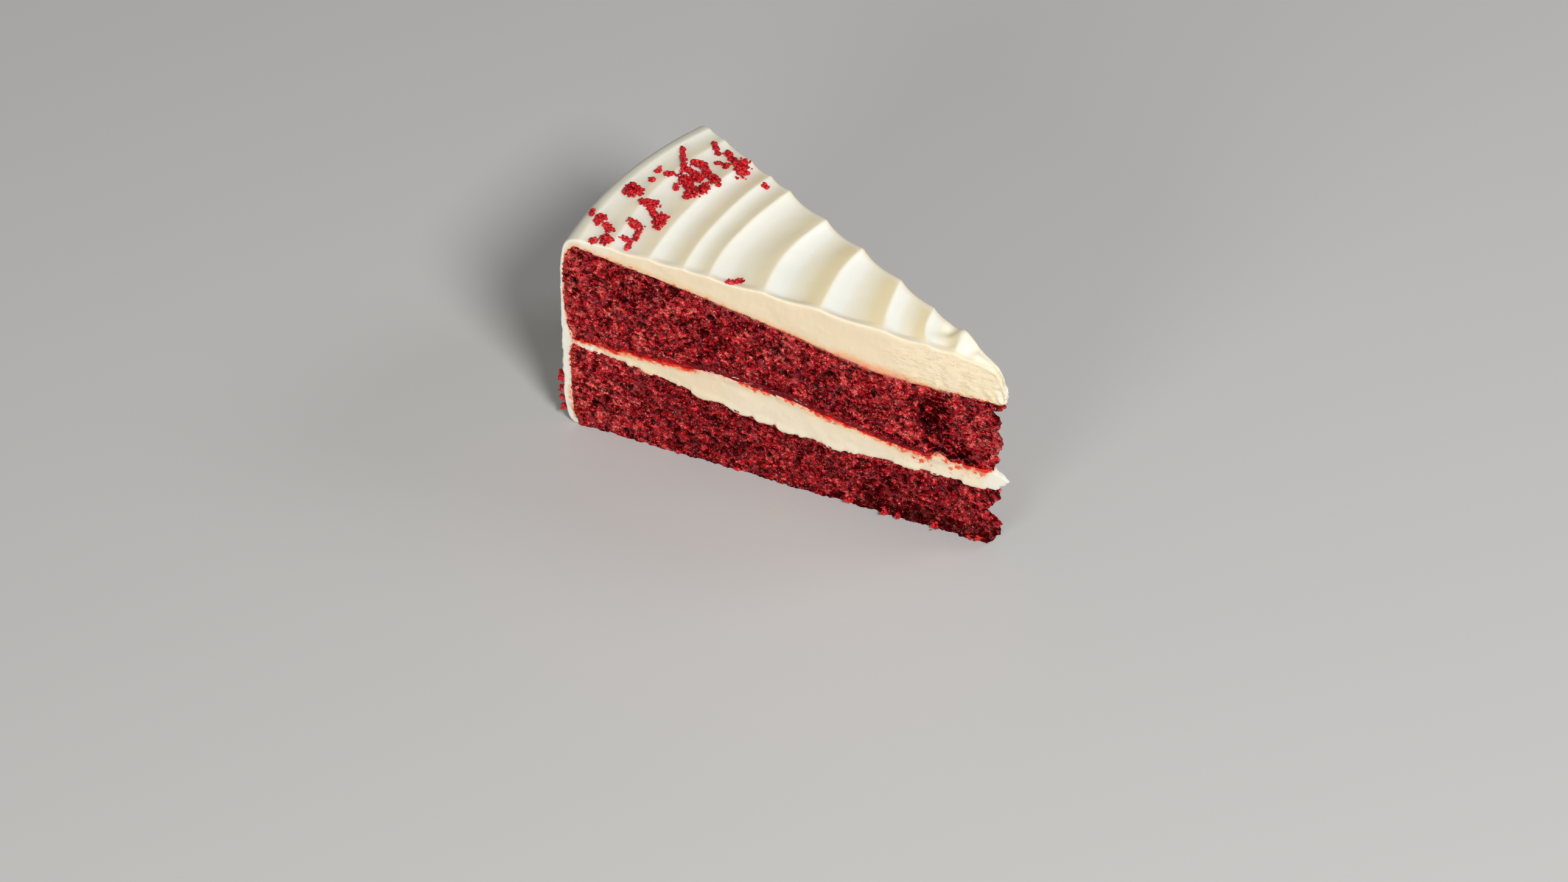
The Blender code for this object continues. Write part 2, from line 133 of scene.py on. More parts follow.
# Camera: place and target from the foot of the cake's axis
CAMERA_PLACE = (568.3, -897.05, 1149.6)
CAMERA_TARGET = (-68.61, -13.31, 15.0)
SENSOR_WIDTH = 36.0
LENS = 118.79

SIN_HALF = math.sin(HALF_ANGLE)
COS_HALF = math.cos(HALF_ANGLE)


# ---- wedge coordinates

def line(points):
    """A function through (place, value) points, straight between them."""
    places, values = np.array(sorted(points), float).T
    return lambda place: np.interp(place, places, values)


def smooth_curve(places, values):
    """A function through the given places and values, smooth between them."""
    slopes = np.gradient(values, places)

    def value(x):
        x = np.clip(x, places[0], places[-1])
        i = np.clip(np.searchsorted(places, x, side="right"), 1, len(places) - 1)
        span = places[i] - places[i - 1]
        u = (x - places[i - 1]) / span
        ease = u * u * (3 - 2 * u)
        bend = span * u * (1 - u) * (slopes[i - 1] * (1 - u) - slopes[i] * u)
        return values[i - 1] + (values[i] - values[i - 1]) * ease + bend

    return value


def curve_from_rim(points):
    """A smooth function of the distance from the axis, through points counted from the rim."""
    places, values = np.array(points, float).T
    return smooth_curve(CAKE_RADIUS - places[::-1], values[::-1])


lower_top = curve_from_rim(LOWER_SPONGE_TOP)
upper_bottom = curve_from_rim(UPPER_SPONGE_BOTTOM)
upper_top = curve_from_rim(UPPER_SPONGE_TOP)
sponge_rim = line([(height, radius + RIM_SWELL) for height, radius in SPONGE_RIM])
top_drop = line(TOP_DROP)


def width(r):
    """Width of the slice at distance r from the axis."""
    inside = np.hypot(2 * r * SIN_HALF, TIP_WIDTH)
    return np.where(r > 0, inside, TIP_WIDTH * np.maximum(0, 1 + r / TIP_TAPER))


def shrink(r, t):
    """Share of its length that a radius keeps towards the far cut."""
    return 1 - FAR_SHRINK * t * t * (r / CAKE_RADIUS) ** 2


def place(r, t, z):
    """Points at distance r from the axis, share t of the way across and height z."""
    r = r * shrink(r, t)
    bulge = np.maximum(r, 0) * (1 - COS_HALF) * (1 - (2 * t - 1) ** 2)
    x = -r * COS_HALF - bulge
    y = -r * SIN_HALF + t * width(r)
    return np.stack(np.broadcast_arrays(x, y, z), -1)


def axis_place():
    """Where the foot of the cake's axis is in the frame."""
    low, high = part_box("frosting")
    x = low.x / MM - place(WIDEST_RADIUS, 0.5, 0)[0]
    y = high.y / MM - place(WIDEST_RADIUS, 1.0, 0)[1]
    return np.array([x, y, 0.0])


AXIS = axis_place()


def in_frame(points):
    """Points counted from the axis in millimetres, in the frame's metres."""
    return (np.asarray(points, float) + AXIS) * MM


def cut_normal(t):
    """Outward direction of the near cut (t = 0) or the far one (t = 1)."""
    return np.array([SIN_HALF, -COS_HALF if t < 0.5 else COS_HALF, 0.0])


# ---- noise

def random_of(cell, seed):
    """A random number from 0 to 1 for each whole-number cell."""
    h = cell[..., 0] * 374761393 + cell[..., 1] * 668265263 + cell[..., 2] * 1440662683 + seed * 1274126177
    h &= 0xFFFFFFFF
    h = ((h ^ (h >> 13)) * 1274126177) & 0xFFFFFFFF
    h = ((h ^ (h >> 16)) * 668265263) & 0xFFFFFFFF
    return ((h >> 7) & 0xFFFFFF) / 0xFFFFFF


def noise(points, spacing, seed=0):
    """Smooth noise from -1 to 1 at the points, its bumps about one spacing apart."""
    q = points / spacing
    cell = np.floor(q).astype(np.int64)
    f = q - cell
    f = f * f * (3 - 2 * f)
    total = 0.0
    for corner in np.ndindex(2, 2, 2):
        corner = np.array(corner)
        weight = np.prod(np.where(corner, f, 1 - f), axis=-1)
        total = total + weight * random_of(cell + corner, seed)
    return 2 * total - 1


def rough(points, *bumps):
    """A sum of noises, each given as its height, its spacing and its seed."""
    return sum(height * noise(points, spacing, seed) for height, spacing, seed in bumps)


def cells(points, spacing, seed):
    """Distance to the nearest scattered seed, in spacings, and a random number of that seed's."""
    q = points / spacing
    base = np.floor(q).astype(np.int64)
    nearest = np.full(q.shape[:-1], 9.0)
    tone = np.zeros(q.shape[:-1])
    for step in np.ndindex(3, 3, 3):
        cell = base + np.array(step) - 1
        centre = cell + np.stack([random_of(cell, seed + axis) for axis in range(3)], -1)
        distance = np.linalg.norm(q - centre, axis=-1)
        closer = distance < nearest
        nearest = np.where(closer, distance, nearest)
        tone = np.where(closer, random_of(cell, seed + 3), tone)
    return nearest, tone


def ramp(x, low, high):
    """0 below low, 1 above high, and an ease between them."""
    u = np.clip((x - low) / (high - low), 0, 1)
    return u * u * (3 - 2 * u)


def spot(x, z, centre_x, centre_z, half_width, half_height):
    """1 in the middle of an oval spot and 0 outside it."""
    d = ((x - centre_x) / half_width) ** 2 + ((z - centre_z) / half_height) ** 2
    return np.clip(1 - d, 0, 1)


# ---- meshes

def lattice_skin(shape):
    """The quads round a lattice of points, as numbers of its points."""
    index = np.arange(np.prod(shape)).reshape(shape)
    quads = []
    for axis in range(3):
        for end in (0, -1):
            side = np.take(index, end, axis)
            loop = np.stack([side[:-1, :-1], side[1:, :-1], side[1:, 1:], side[:-1, 1:]], -1).reshape(-1, 4)
            outwards = (end == -1) != (axis == 1)
            quads.append(loop if outwards else loop[:, ::-1])
    return np.concatenate(quads)


def make_mesh(name, points, faces, attributes, material):
    """A piece from points in millimetres, its faces and its named numbers for each point."""
    mesh = bpy.data.meshes.new(name)
    mesh.from_pydata(in_frame(points).tolist(), [], faces.tolist())
    mesh.polygons.foreach_set("use_smooth", np.full(len(faces), True))
    for label, values in attributes.items():
        layer = mesh.attributes.new(label, "FLOAT", "POINT")
        layer.data.foreach_set("value", np.asarray(values, np.float32).ravel())
    mesh.materials.append(material)
    piece = bpy.data.objects.new(name, mesh)
    bpy.context.scene.collection.objects.link(piece)
    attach(piece, "root")
    return piece


def lattice_piece(name, points, attributes, material, flip=False):
    """A piece that is the skin of a lattice of points, with attributes on the same lattice."""
    quads = lattice_skin(points.shape[:3])
    if flip:
        quads = quads[:, ::-1]
    used, quads = np.unique(quads, return_inverse=True)
    chosen = {label: values.reshape(-1)[used] for label, values in attributes.items()}
    return make_mesh(name, points.reshape(-1, 3)[used], quads.reshape(-1, 4), chosen, material)


# ---- materials

class Surface:
    """A material whose nodes are added one by one to its Principled shader."""

    def __init__(self, name, **sockets):
        self.material = bpy.data.materials.new(name)
        self.material.use_nodes = True
        self.nodes = self.material.node_tree.nodes
        self.shader = self.nodes["Principled BSDF"]
        self.feed(self.shader, {label.replace("_", " "): value for label, value in sockets.items()})
        self.place = self.add("ShaderNodeTexCoord").outputs["Object"]

    def feed(self, node, sockets):
        for label, value in sockets.items():
            if isinstance(value, bpy.types.NodeSocket):
                self.material.node_tree.links.new(value, node.inputs[label])
            else:
                node.inputs[label].default_value = value

    def add(self, kind, sockets=None, **settings):
        node = self.nodes.new(kind)
        for label, value in settings.items():
            setattr(node, label, value)
        self.feed(node, sockets or {})
        return node

    def mask(self, label):
        """A number that the mesh carries."""
        return self.add("ShaderNodeAttribute", attribute_name=label).outputs["Fac"]

    def noise(self, spacing_mm, detail=2.0, roughness=0.55, stretch=None):
        """Noise from 0 to 1, its bumps about one spacing apart."""
        sockets = {"Vector": self.stretched(stretch), "Scale": 1 / (spacing_mm * MM), "Detail": detail,
                   "Roughness": roughness}
        return self.add("ShaderNodeTexNoise", sockets).outputs["Fac"]

    def stretched(self, stretch):
        if stretch is None:
            return self.place
        return self.add("ShaderNodeMapping", {"Vector": self.place, "Scale": stretch}).outputs["Vector"]

    def wander(self, spacing_mm, reach_mm):
        """Places pushed about by a noise, so that a pattern read there has no straight edges."""
        sockets = {"Vector": self.place, "Scale": 1 / (spacing_mm * MM), "Detail": 1.0}
        push = self.add("ShaderNodeTexNoise", sockets).outputs["Color"]
        centred = self.vector("SUBTRACT", push, (0.5,) * 3)
        return self.vector("MULTIPLY_ADD", centred, (2 * reach_mm * MM,) * 3, self.place)

    def grains(self, spacing_mm, place):
        """A Voronoi pattern: its distances and its random colours."""
        sockets = {"Vector": place, "Scale": 1 / (spacing_mm * MM)}
        return self.add("ShaderNodeTexVoronoi", sockets)

    def pits(self, spacing_mm, place, largest):
        """1 in the middle of scattered holes of unlike widths and 0 outside them."""
        holes = self.grains(spacing_mm, place)
        radius = self.times(self.channel(holes.outputs["Color"]), largest)
        return self.levels(self.minus(radius, holes.outputs["Distance"]), 0.0, 0.2)

    def region(self, label, ragged, raggedness, softness):
        """1 inside a region that the mesh marks and 0 outside, its border made uneven by a noise."""
        inside = self.plus(self.mask(label), self.times(ragged, raggedness))
        return self.levels(inside, 0.0, softness)

    def channel(self, colour):
        """The red part of a colour."""
        return self.add("ShaderNodeSeparateColor", {"Color": colour}).outputs["Red"]

    def vector(self, operation, *inputs):
        node = self.add("ShaderNodeVectorMath", operation=operation)
        self.feed(node, dict(enumerate(inputs)))
        return node.outputs["Vector"]

    def math(self, operation, a, b, clamp=False):
        node = self.add("ShaderNodeMath", operation=operation, use_clamp=clamp)
        self.feed(node, {0: a, 1: b})
        return node.outputs[0]

    def times(self, a, b):
        return self.math("MULTIPLY", a, b)

    def plus(self, a, b):
        return self.math("ADD", a, b)

    def minus(self, a, b):
        return self.math("SUBTRACT", a, b)

    def weighted(self, *terms):
        """The sum of values, each times its weight."""
        total = self.times(*terms[0])
        for value, weight in terms[1:]:
            total = self.plus(total, self.times(value, weight))
        return total

    def ramp(self, value, stops):
        """Colours at places from 0 to 1, mixed between them."""
        node = self.add("ShaderNodeValToRGB", {"Fac": value})
        elements = node.color_ramp.elements
        while len(elements) < len(stops):
            elements.new(0.5)
        for element, (position, colour) in zip(elements, stops):
            element.position = position
            element.color = (*colour, 1)
        return node.outputs["Color"]

    def levels(self, value, low, high):
        """value stretched so that low becomes 0 and high becomes 1, and kept between them."""
        node = self.add("ShaderNodeMapRange", {"Value": value, "From Min": low, "From Max": high})
        return node.outputs["Result"]

    def blend(self, share, a, b):
        """Colour a turning into colour b as share goes from 0 to 1."""
        node = self.add("ShaderNodeMix", data_type="RGBA")
        colours = [c if isinstance(c, bpy.types.NodeSocket) else (*c, 1) for c in (a, b)]
        self.feed(node, {0: share, 6: colours[0], 7: colours[1]})
        return node.outputs[2]

    def layers(self, colour, *layers):
        """A colour with others laid over it in turn, each by its share."""
        for share, over in layers:
            colour = self.blend(share, colour, over)
        return colour

    def bump(self, height, depth_mm, strength=1.0, under=None):
        """A bump from a height of 0 to 1 that is depth_mm deep, on top of another bump."""
        sockets = {"Height": height, "Distance": depth_mm * MM, "Strength": strength}
        if under is not None:
            sockets["Normal"] = under
        return self.add("ShaderNodeBump", sockets).outputs["Normal"]

    def finish(self, **sockets):
        self.feed(self.shader, {label.replace("_", " "): value for label, value in sockets.items()})
        return self.material


# darkest crumb tone, and also the painted shade deep in the pores
DARKEST_CRUMB_AND_PORE_SHADE = (0.030, 0.0, 0.001)
# painted shade in the gaps between lumps and in the pits
PIT_SHADE_RED = (0.075, 0.0, 0.001)
DEEP_RED = (0.22, 0.002, 0.006)
MID_RED = (0.46, 0.008, 0.014)
BRIGHT_RED = (0.77, 0.042, 0.050)
FLECK_PINK = (0.98, 0.18, 0.145)
# painted highlight: small moist glints on the crumb
PAINTED_GLINT = (0.95, 0.60, 0.56)
# painted shade in the clefts of the crumb, blacker inside the stains
CLEFT_SHADE = (0.085, 0.0, 0.002)
CLEFT_SHADE_BLACK = (0.006, 0.0, 0.0)
MAROON = (0.25, 0.020, 0.028)
RICH_RED = (0.56, 0.001, 0.005)
BAND_RED = (0.17, 0.004, 0.008)
EDGE_RED = (0.60, 0.002, 0.003)
RIM_ORANGE = (0.82, 0.060, 0.012)
SMEAR_PINK = (0.66, 0.19, 0.17)
BROWN_BASE = (0.065, 0.007, 0.004)
STREAK_WHITE = (0.80, 0.58, 0.54)

LUMP = 1.3  # width of a lump of crumb in the material
SPECK = 0.6  # and of the specks on it


def sponge_material():
    """Torn red crumb: lumps and specks of many reds, painted shade in its clefts, pits and pores, painted
    glints, and the stains and shade that the mesh marks.
    """
    s = Surface("red_sponge", IOR=1.4, Subsurface_Weight=0.04, Subsurface_Scale=0.0008,
                Subsurface_Radius=(1.2, 0.15, 0.1))
    wander = s.wander(0.8, 0.6)
    lumps, specks = s.grains(LUMP, wander), s.grains(SPECK, wander)
    lump_dip, speck_dip = (s.times(g.outputs["Distance"], g.outputs["Distance"]) for g in (lumps, specks))
    lump_tone, speck_tone = (s.channel(g.outputs["Color"]) for g in (lumps, specks))
    pits = s.times(s.pits(1.7, s.wander(0.5, 0.9), 0.60), 0.95)
    patches = s.levels(s.noise(7.0, 2.0, 0.5), 0.3, 0.7)
    middling = s.levels(s.noise(2.6, 3.0, 0.6), 0.38, 0.62)
    ragged = s.minus(s.noise(1.5, 3.0, 0.6), 0.5)
    # black stains, and the painted shade of a line of pits above the wet band
    stained = s.times(s.mask("stain"), s.levels(s.noise(1.9, 3.0, 0.62), 0.36, 0.50))
    value = s.weighted((lump_tone, 0.28), (speck_tone, 0.28), (middling, 0.34), (patches, 0.16),
                       (s.mask("bright"), 0.12), (stained, -0.28))
    dark = s.times(s.plus(stained, s.mask("brown")), -0.14)
    cleft = s.levels(s.plus(s.noise(2.1, 4.0, 0.68), dark), 0.43, 0.37)
    matte = s.times(s.levels(s.noise(3.2, 3.0, 0.62), 0.53, 0.60), 0.75)
    rich = s.times(s.levels(s.noise(2.0, 2.0, 0.6), 0.58, 0.66), 0.7)
    painted_glint = s.times(s.pits(0.75, s.wander(0.4, 0.5), 0.36), s.levels(speck_tone, 0.45, 0.55))
    band = s.region("band", ragged, 2.0, 0.7)
    streaks = s.levels(s.noise(0.7, 2.0, 0.5, (0.28, 0.28, 1.0)), 0.60, 0.66)
    reds = s.ramp(value, ((0.08, DARKEST_CRUMB_AND_PORE_SHADE), (0.28, DEEP_RED), (0.46, MID_RED), (0.63, BRIGHT_RED),
                          (0.80, FLECK_PINK)))
    colour = s.layers(
        # painted shade: the gaps between lumps and the pits darkened
        reds, (matte, MAROON), (rich, RICH_RED), (s.levels(lump_dip, 0.28, 0.9), PIT_SHADE_RED), (pits, PIT_SHADE_RED),
        (s.mask("brown"), BROWN_BASE),
        # painted shade in the clefts
        (s.times(cleft, 0.85), s.blend(stained, CLEFT_SHADE, CLEFT_SHADE_BLACK)),
        # painted highlights: small glints on the crumb
        (s.times(painted_glint, 0.75), PAINTED_GLINT),
        (band, BAND_RED),
        (s.times(streaks, s.mask("streak")), STREAK_WHITE),
        (s.times(s.region("edge", ragged, 5.0, 1.0), 0.85), EDGE_RED),
        (s.times(s.region("rim", ragged, 5.0, 2.0), 0.8), RIM_ORANGE),
        (s.times(s.region("smear", ragged, 7.0, 1.2), 0.7), SMEAR_PINK),
        # painted shade deep in the pores
        (s.mask("pore"), DARKEST_CRUMB_AND_PORE_SHADE))
    relief = s.weighted((lump_tone, 0.5), (lump_dip, -1.0), (pits, -1.0), (cleft, -0.7))
    torn = s.minus(1.0, s.math("MAXIMUM", band, matte))
    bump = s.bump(s.times(speck_dip, -1.0), 0.3, 1.0)
    bump = s.bump(s.times(relief, torn), 0.85, 1.0, bump)
    wet = s.levels(speck_tone, 0.55, 0.8)
    dull = s.minus(0.46, s.times(wet, 0.28))
    shine = s.math("SUBTRACT", s.plus(s.times(wet, 0.5), 0.1), cleft, clamp=True)
    return s.finish(Base_Color=colour, Normal=bump, Roughness=dull, Specular_IOR_Level=shine)


CRUMB_DARK = (0.16, 0.001, 0.003)
CRUMB_RED = (0.46, 0.002, 0.008)
CRUMB_BRIGHT = (0.70, 0.012, 0.020)
CRUMB_LIGHT = (0.86, 0.10, 0.09)


def crumb_material():
    """Loose crumbs: each of its own tone, and mottled."""
    s = Surface("red_crumbs", Roughness=0.34, IOR=1.4, Specular_IOR_Level=0.45, Subsurface_Weight=0.2,
                Subsurface_Scale=0.0008, Subsurface_Radius=(1.2, 0.15, 0.1))
    value = s.weighted((s.noise(0.7, 3.0, 0.65), 0.7), (s.mask("tone"), 0.42))
    colour = s.ramp(value, ((0.24, CRUMB_DARK), (0.42, CRUMB_RED), (0.66, CRUMB_BRIGHT),
                            (0.90, CRUMB_LIGHT)))
    return s.finish(Base_Color=colour, Normal=s.bump(s.noise(0.32, 2.0, 0.6), 0.22, 0.9))


CREAM_WHITE = (0.90, 0.90, 0.835)
# painted shade on the groove slopes that face the rim
CREAM_SLOPE_SHADE = (0.87, 0.76, 0.50)
CREAM_CUT = (0.79, 0.66, 0.465)
CREAM_CUT_PALE = (0.80, 0.685, 0.495)
CREAM_PALE = (0.82, 0.79, 0.70)
CREAM_TIP = (0.89, 0.77, 0.55)
# painted shade in the hollows between the flakes
CREAM_HOLLOW_SHADE = (0.80, 0.62, 0.36)
FRINGE_YELLOW = (0.86, 0.44, 0.18)
FRINGE_ORANGE = (0.84, 0.15, 0.05)
FRINGE_RED = (0.68, 0.016, 0.006)
FRINGE_PINK = (0.82, 0.30, 0.22)
SPECK_ORANGE = (0.80, 0.10, 0.03)


def cream_material():
    """Cream: white where it was spread, with painted shade on the groove slopes that face the rim and in
    the hollows of the flakes, warm where it was cut, and stained beside the sponge.
    """
    s = Surface("cream_frosting", Roughness=0.42, IOR=1.42, Subsurface_Weight=0.35, Subsurface_Scale=0.003,
                Subsurface_Radius=(1.0, 0.75, 0.45))
    ragged = s.minus(s.noise(1.9, 4.0, 0.62), 0.5)
    streaks = s.levels(s.noise(1.6, 3.0, 0.6, (1.0, 1.0, 0.22)), 0.3, 0.7)
    flakes = s.levels(s.noise(1.5, 4.0, 0.62, (0.6, 0.6, 1.0)), 0.36, 0.52)
    cut, flaky = s.mask("cut"), s.mask("flaky")
    # painted shade, warm and tan, on the groove slopes that face the rim
    spread_cream = s.blend(s.mask("slope_shade"), CREAM_WHITE, CREAM_SLOPE_SHADE)
    cut_cream = s.layers(s.blend(streaks, CREAM_CUT, CREAM_CUT_PALE), (s.mask("pale"), CREAM_PALE),
                         (s.times(flaky, 0.7), CREAM_TIP))
    colour = s.layers(
        s.blend(cut, spread_cream, cut_cream),
        (s.times(s.region("halo", ragged, 4.0, 3.0), 0.8), FRINGE_YELLOW),
        (s.times(s.region("pink", ragged, 3.0, 2.4), 0.8), FRINGE_PINK),
        (s.region("orange", ragged, 6.5, 1.5), FRINGE_ORANGE),
        (s.times(s.pits(1.9, s.wander(0.8, 1.0), 0.72), s.mask("specks")), SPECK_ORANGE),
        (s.region("red", ragged, 7.0, 0.8), FRINGE_RED),
        # painted shade in the hollows between the flakes
        (s.times(s.times(s.levels(flakes, 0.35, 0.0), flaky), 0.35), CREAM_HOLLOW_SHADE))
    bump = s.bump(s.noise(3.0, 2.0, 0.5), 0.10, 0.5)
    bump = s.bump(s.times(streaks, cut), 0.06, 0.6, bump)
    bump = s.bump(s.times(flakes, flaky), 0.22, 0.8, bump)
    return s.finish(Base_Color=colour, Normal=bump)


# ---- sponge

# Pores of the torn crumb: (spacing, depth, largest radius as a share of the spacing, seed)
PORES = ((5.2, 1.5, 0.30, 20), (2.6, 1.0, 0.36, 30))
CRUMB_SPACING = 1.25  # from lump to lump of the torn crumb


def torn_crumb(points, seed):
    """Relief of a torn sponge at points of its cut face, and how deep in a pore each lies, which sets the
    painted shade in the pores.
    """
    warp = np.stack([noise(points, 1.3, seed + axis) for axis in (11, 12, 13)], -1)
    warped = points + 0.4 * warp
    height = rough(points, (0.34, 7, seed), (0.30, 2.6, seed + 1))
    pore = np.zeros(points.shape[:-1])
    for spacing, depth, largest, number in PORES:
        distance, size = cells(warped, spacing, seed + number)
        radius = 0.08 + largest * size
        hole = np.sqrt(np.clip(1 - (distance / radius) ** 2, 0, 1))
        height -= depth * hole * (0.4 + 0.6 * size)
        pore = np.maximum(pore, hole * (0.35 + 0.65 * size) * min(1.0, depth))
    distance, tone = cells(warped, CRUMB_SPACING, seed + 50)
    height += 0.70 * (0.5 - distance) + 0.45 * (tone - 0.5)
    return height, pore


# Pores large enough to stand out: (distance from the rim, height, width, height of the hole, depth)
UPPER_HOLES = ((3.5, 62, 2.4, 4.2, 2.0), (48, 62, 3.4, 3.2, 2.2), (50.5, 60.5, 2.2, 1.8, 1.4),
               (26, 55, 1.8, 1.5, 1.2), (72, 48, 1.8, 1.4, 1.2), (96, 44, 2.0, 1.6, 1.3),
               (33, 66, 1.6, 2.2, 1.2), (64, 57, 1.6, 1.6, 1.1), (112, 52, 1.8, 1.5, 1.2),
               (15, 46, 1.7, 1.7, 1.1), (86, 55, 1.5, 1.8, 1.0))
LOWER_HOLES = ((37, 4, 2.4, 4.0, 2.0), (110, 18.6, 2.4, 2.2, 1.7), (93, 5, 2.2, 2.0, 1.5),
               (60, 13, 1.8, 1.5, 1.2), (21, 22, 1.8, 2.0, 1.2), (78, 17, 1.6, 1.4, 1.1),
               (49, 21, 1.5, 1.8, 1.1), (123, 9, 1.8, 1.6, 1.2), (12, 10, 1.6, 2.0, 1.1))


NARROW = 6.0  # width of the slice below which its cuts get less relief
RELIEF_RANGE = (-2.6, 0.75)  # deepest pore and highest lump


def with_holes(s, z, holes, height, pore):
    """Relief and pore depth with the given holes cut in."""
    for centre_s, centre_z, wide, tall, deep in holes:
        reach = np.sqrt(spot(s, z, centre_s, centre_z, wide / 2, tall / 2))
        height = height - deep * reach
        pore = np.maximum(pore, ramp(reach, 0.0, 0.8))
    return height, pore


def thinness(r):
    """Share of its relief that a cut face keeps where the slice is narrow."""
    return np.clip(width(r) / NARROW, 0.25, 1)


def layer_piece(name, points, reliefs, masks, material):
    """A layer whose near and far cut have the given reliefs and masks, mixed in between them."""
    t_steps = np.linspace(0, 1, points.shape[1])
    for j, t in enumerate(t_steps):
        points[:, j] += (reliefs[0] * (1 - t))[..., None] * cut_normal(0)
        points[:, j] += (reliefs[1] * t)[..., None] * cut_normal(1)
    attributes = {}
    for label, near in masks[0].items():
        attributes[label] = np.stack([near * (1 - t) + masks[1][label] * t for t in t_steps], 1)
    return lattice_piece(name, points, attributes, material)


def sponge(name, bottom, top, tip, holes, marks, material, seed):
    """One sponge layer. marks(s, z, below, above, points) gives the colour masks of a cut face."""
    along, across, up = SPONGE_STEPS
    level = np.linspace(0, 1, up + 1)[None, :]
    share = np.linspace(0, 1, along + 1)[:, None]
    tip_low, tip_high = tip[0][0], tip[-1][0]
    tip_z = tip_low + level * (tip_high - tip_low)
    low, high = bottom(CAKE_RADIUS), top(CAKE_RADIUS)
    r_rim = sponge_rim(low + level * (high - low))

    def grid(t):
        """Distances from the axis and heights of the layer's points at share t across."""
        jag = np.stack(np.broadcast_arrays(seed, t * TIP_WIDTH, tip_z), -1)
        r_tip = line(tip)(tip_z) + rough(jag, (0.9, 1.8, seed), (0.7, 0.9, seed + 1))
        r = r_tip + (r_rim - r_tip) * share
        return r, bottom(r) + level * (top(r) - bottom(r))

    points = []
    for t in np.linspace(0, 1, across + 1):
        r, z = grid(t)
        points.append(place(r, t, z))
    reliefs, masks = [], []
    for side in (0, 1):
        r, z = grid(side)
        s = CAKE_RADIUS - r
        face = place(r, side, z)
        height, pore = torn_crumb(face, seed + 100 * side)
        found = marks(s, z, z - bottom(r), top(r) - z, face)
        if side == 0:
            jitter = 0.5 * noise(face, 0.9, seed + 7)
            height, pore = with_holes(s + jitter, z - jitter, holes, height, pore)
        border = np.minimum(z - bottom(r), top(r) - z)
        height = np.maximum(height, -0.45 - 2.2 * ramp(border, 0.3, 2.0))
        pore = pore * ramp(border, 0.2, 1.4)
        smooth_band = ramp(found["band"], 0, 0.9)
        height = height * (1 - 0.7 * smooth_band)
        reliefs.append(np.clip(height, *RELIEF_RANGE) * thinness(r))
        masks.append({**found, "pore": pore * (1 - smooth_band)})
    return layer_piece(name, np.stack(points, 1), reliefs, masks, material)


# Marks on the sponges along the cuts: (distance from the rim, strength or width)
SMEARS = ((0, 0.0), (30, 0.1), (36, 0.7), (46, 0.8), (66, 0.8), (76, 0.5), (84, 0.3), (92, 0.7),
          (112, 0.6), (118, 0.2), (140, 0.1))
BAND_WIDTH = ((0, -2.0), (12, -0.5), (22, 1.0), (34, 2.6), (60, 3.4), (80, 3.2), (100, 2.4), (116, 2.4),
              (122, 1.0), (140, 0.4))
FRINGE = ((0, 0.9), (4, 1.25), (14, 1.35), (30, 1.2), (42, 1.1), (45, 0.1), (56, 0.1), (58, 0.9), (66, 0.9),
          (69, 0.3), (76, 0.4), (80, 1.0), (102, 1.0), (106, 0.8), (118, 0.9), (120, 0.3), (125, 0.4),
          (128, 1.3), (136, 1.3), (138, 0.3), (140, -0.5))
GLOW = ((0, 0.3), (60, 0.3), (86, 0.5), (92, 1.0), (108, 1.0), (116, 0.5), (124, 0.2), (140, 0.1))
STREAKS = ((0, 0.0), (42, 0.0), (46, 0.9), (57, 0.9), (60, 0.2), (65, 0.3), (68, 0.9), (79, 0.9), (83, 0.1),
           (140, 0.1))
smear_along = line(SMEARS)
streak_along = line(STREAKS)
glow_along = line(GLOW)
band_along = line(BAND_WIDTH)
fringe_along = line(FRINGE)


RIM_STAIN = 1.5  # width of the orange edge beside the side frosting


def rim_reach(s, z):
    """How far inside the orange edge beside the rim a point lies."""
    return RIM_STAIN - (sponge_rim(z) - CAKE_RADIUS + s)


def rim_and_tip_glow(s):
    """How much brighter the sponge is beside the rim and at the tip."""
    return np.clip(1.0 - s / 7, 0, 1) + 0.7 * ramp(s, 126, 139)


FAR_OUTSIDE = -20.0  # of a region that a layer hasn't got


def upper_marks(s, z, above_bottom, below_top, face):
    """Colour masks of the upper sponge: wet red band below, pink smears on top, black stains, and painted
    shade in a line of pits just above the band.
    """
    patch = noise(face, 3.0, 61)
    streak = streak_along(s) * ramp(above_bottom, 0.1, 0.4) * ramp(2.6 + 0.6 * patch - above_bottom, 0, 0.8)
    stain = np.maximum(spot(s, z, 120, 47, 7.0, 13), spot(s, z, 127, 35.5, 11, 5.5))
    stain = ramp(stain + 0.35 * patch, 0.2, 0.75)
    # painted shade: a dark line of shaded pits just above the wet band
    over_band = above_bottom - band_along(s) - 0.7
    gap = ramp(1.3 + 0.9 * patch - np.abs(over_band), 0, 0.9) * ramp(s, 30, 48)
    stain = np.maximum(stain, 0.55 * gap)
    stain = np.maximum(stain, 0.35 * ramp(noise(face, 13, 64), 0.1, 0.7))
    fragment = ramp(s, 137.5, 140.5) * ramp(z, 57.6, 58.4)
    return {"band": band_along(s) + 0.5 * patch - above_bottom,
            "edge": 1.6 * fringe_along(s) - 0.5 + 0.5 * noise(face, 2.6, 66) - above_bottom,
            "smear": 2.6 * smear_along(s) - 0.9 - below_top,
            "streak": streak,
            "stain": stain,
            "brown": 0 * s,
            "rim": np.maximum(rim_reach(s, z), 2.2 * fragment - 1.3),
            "bright": rim_and_tip_glow(s) + 0.25 * noise(face, 9, 65)}


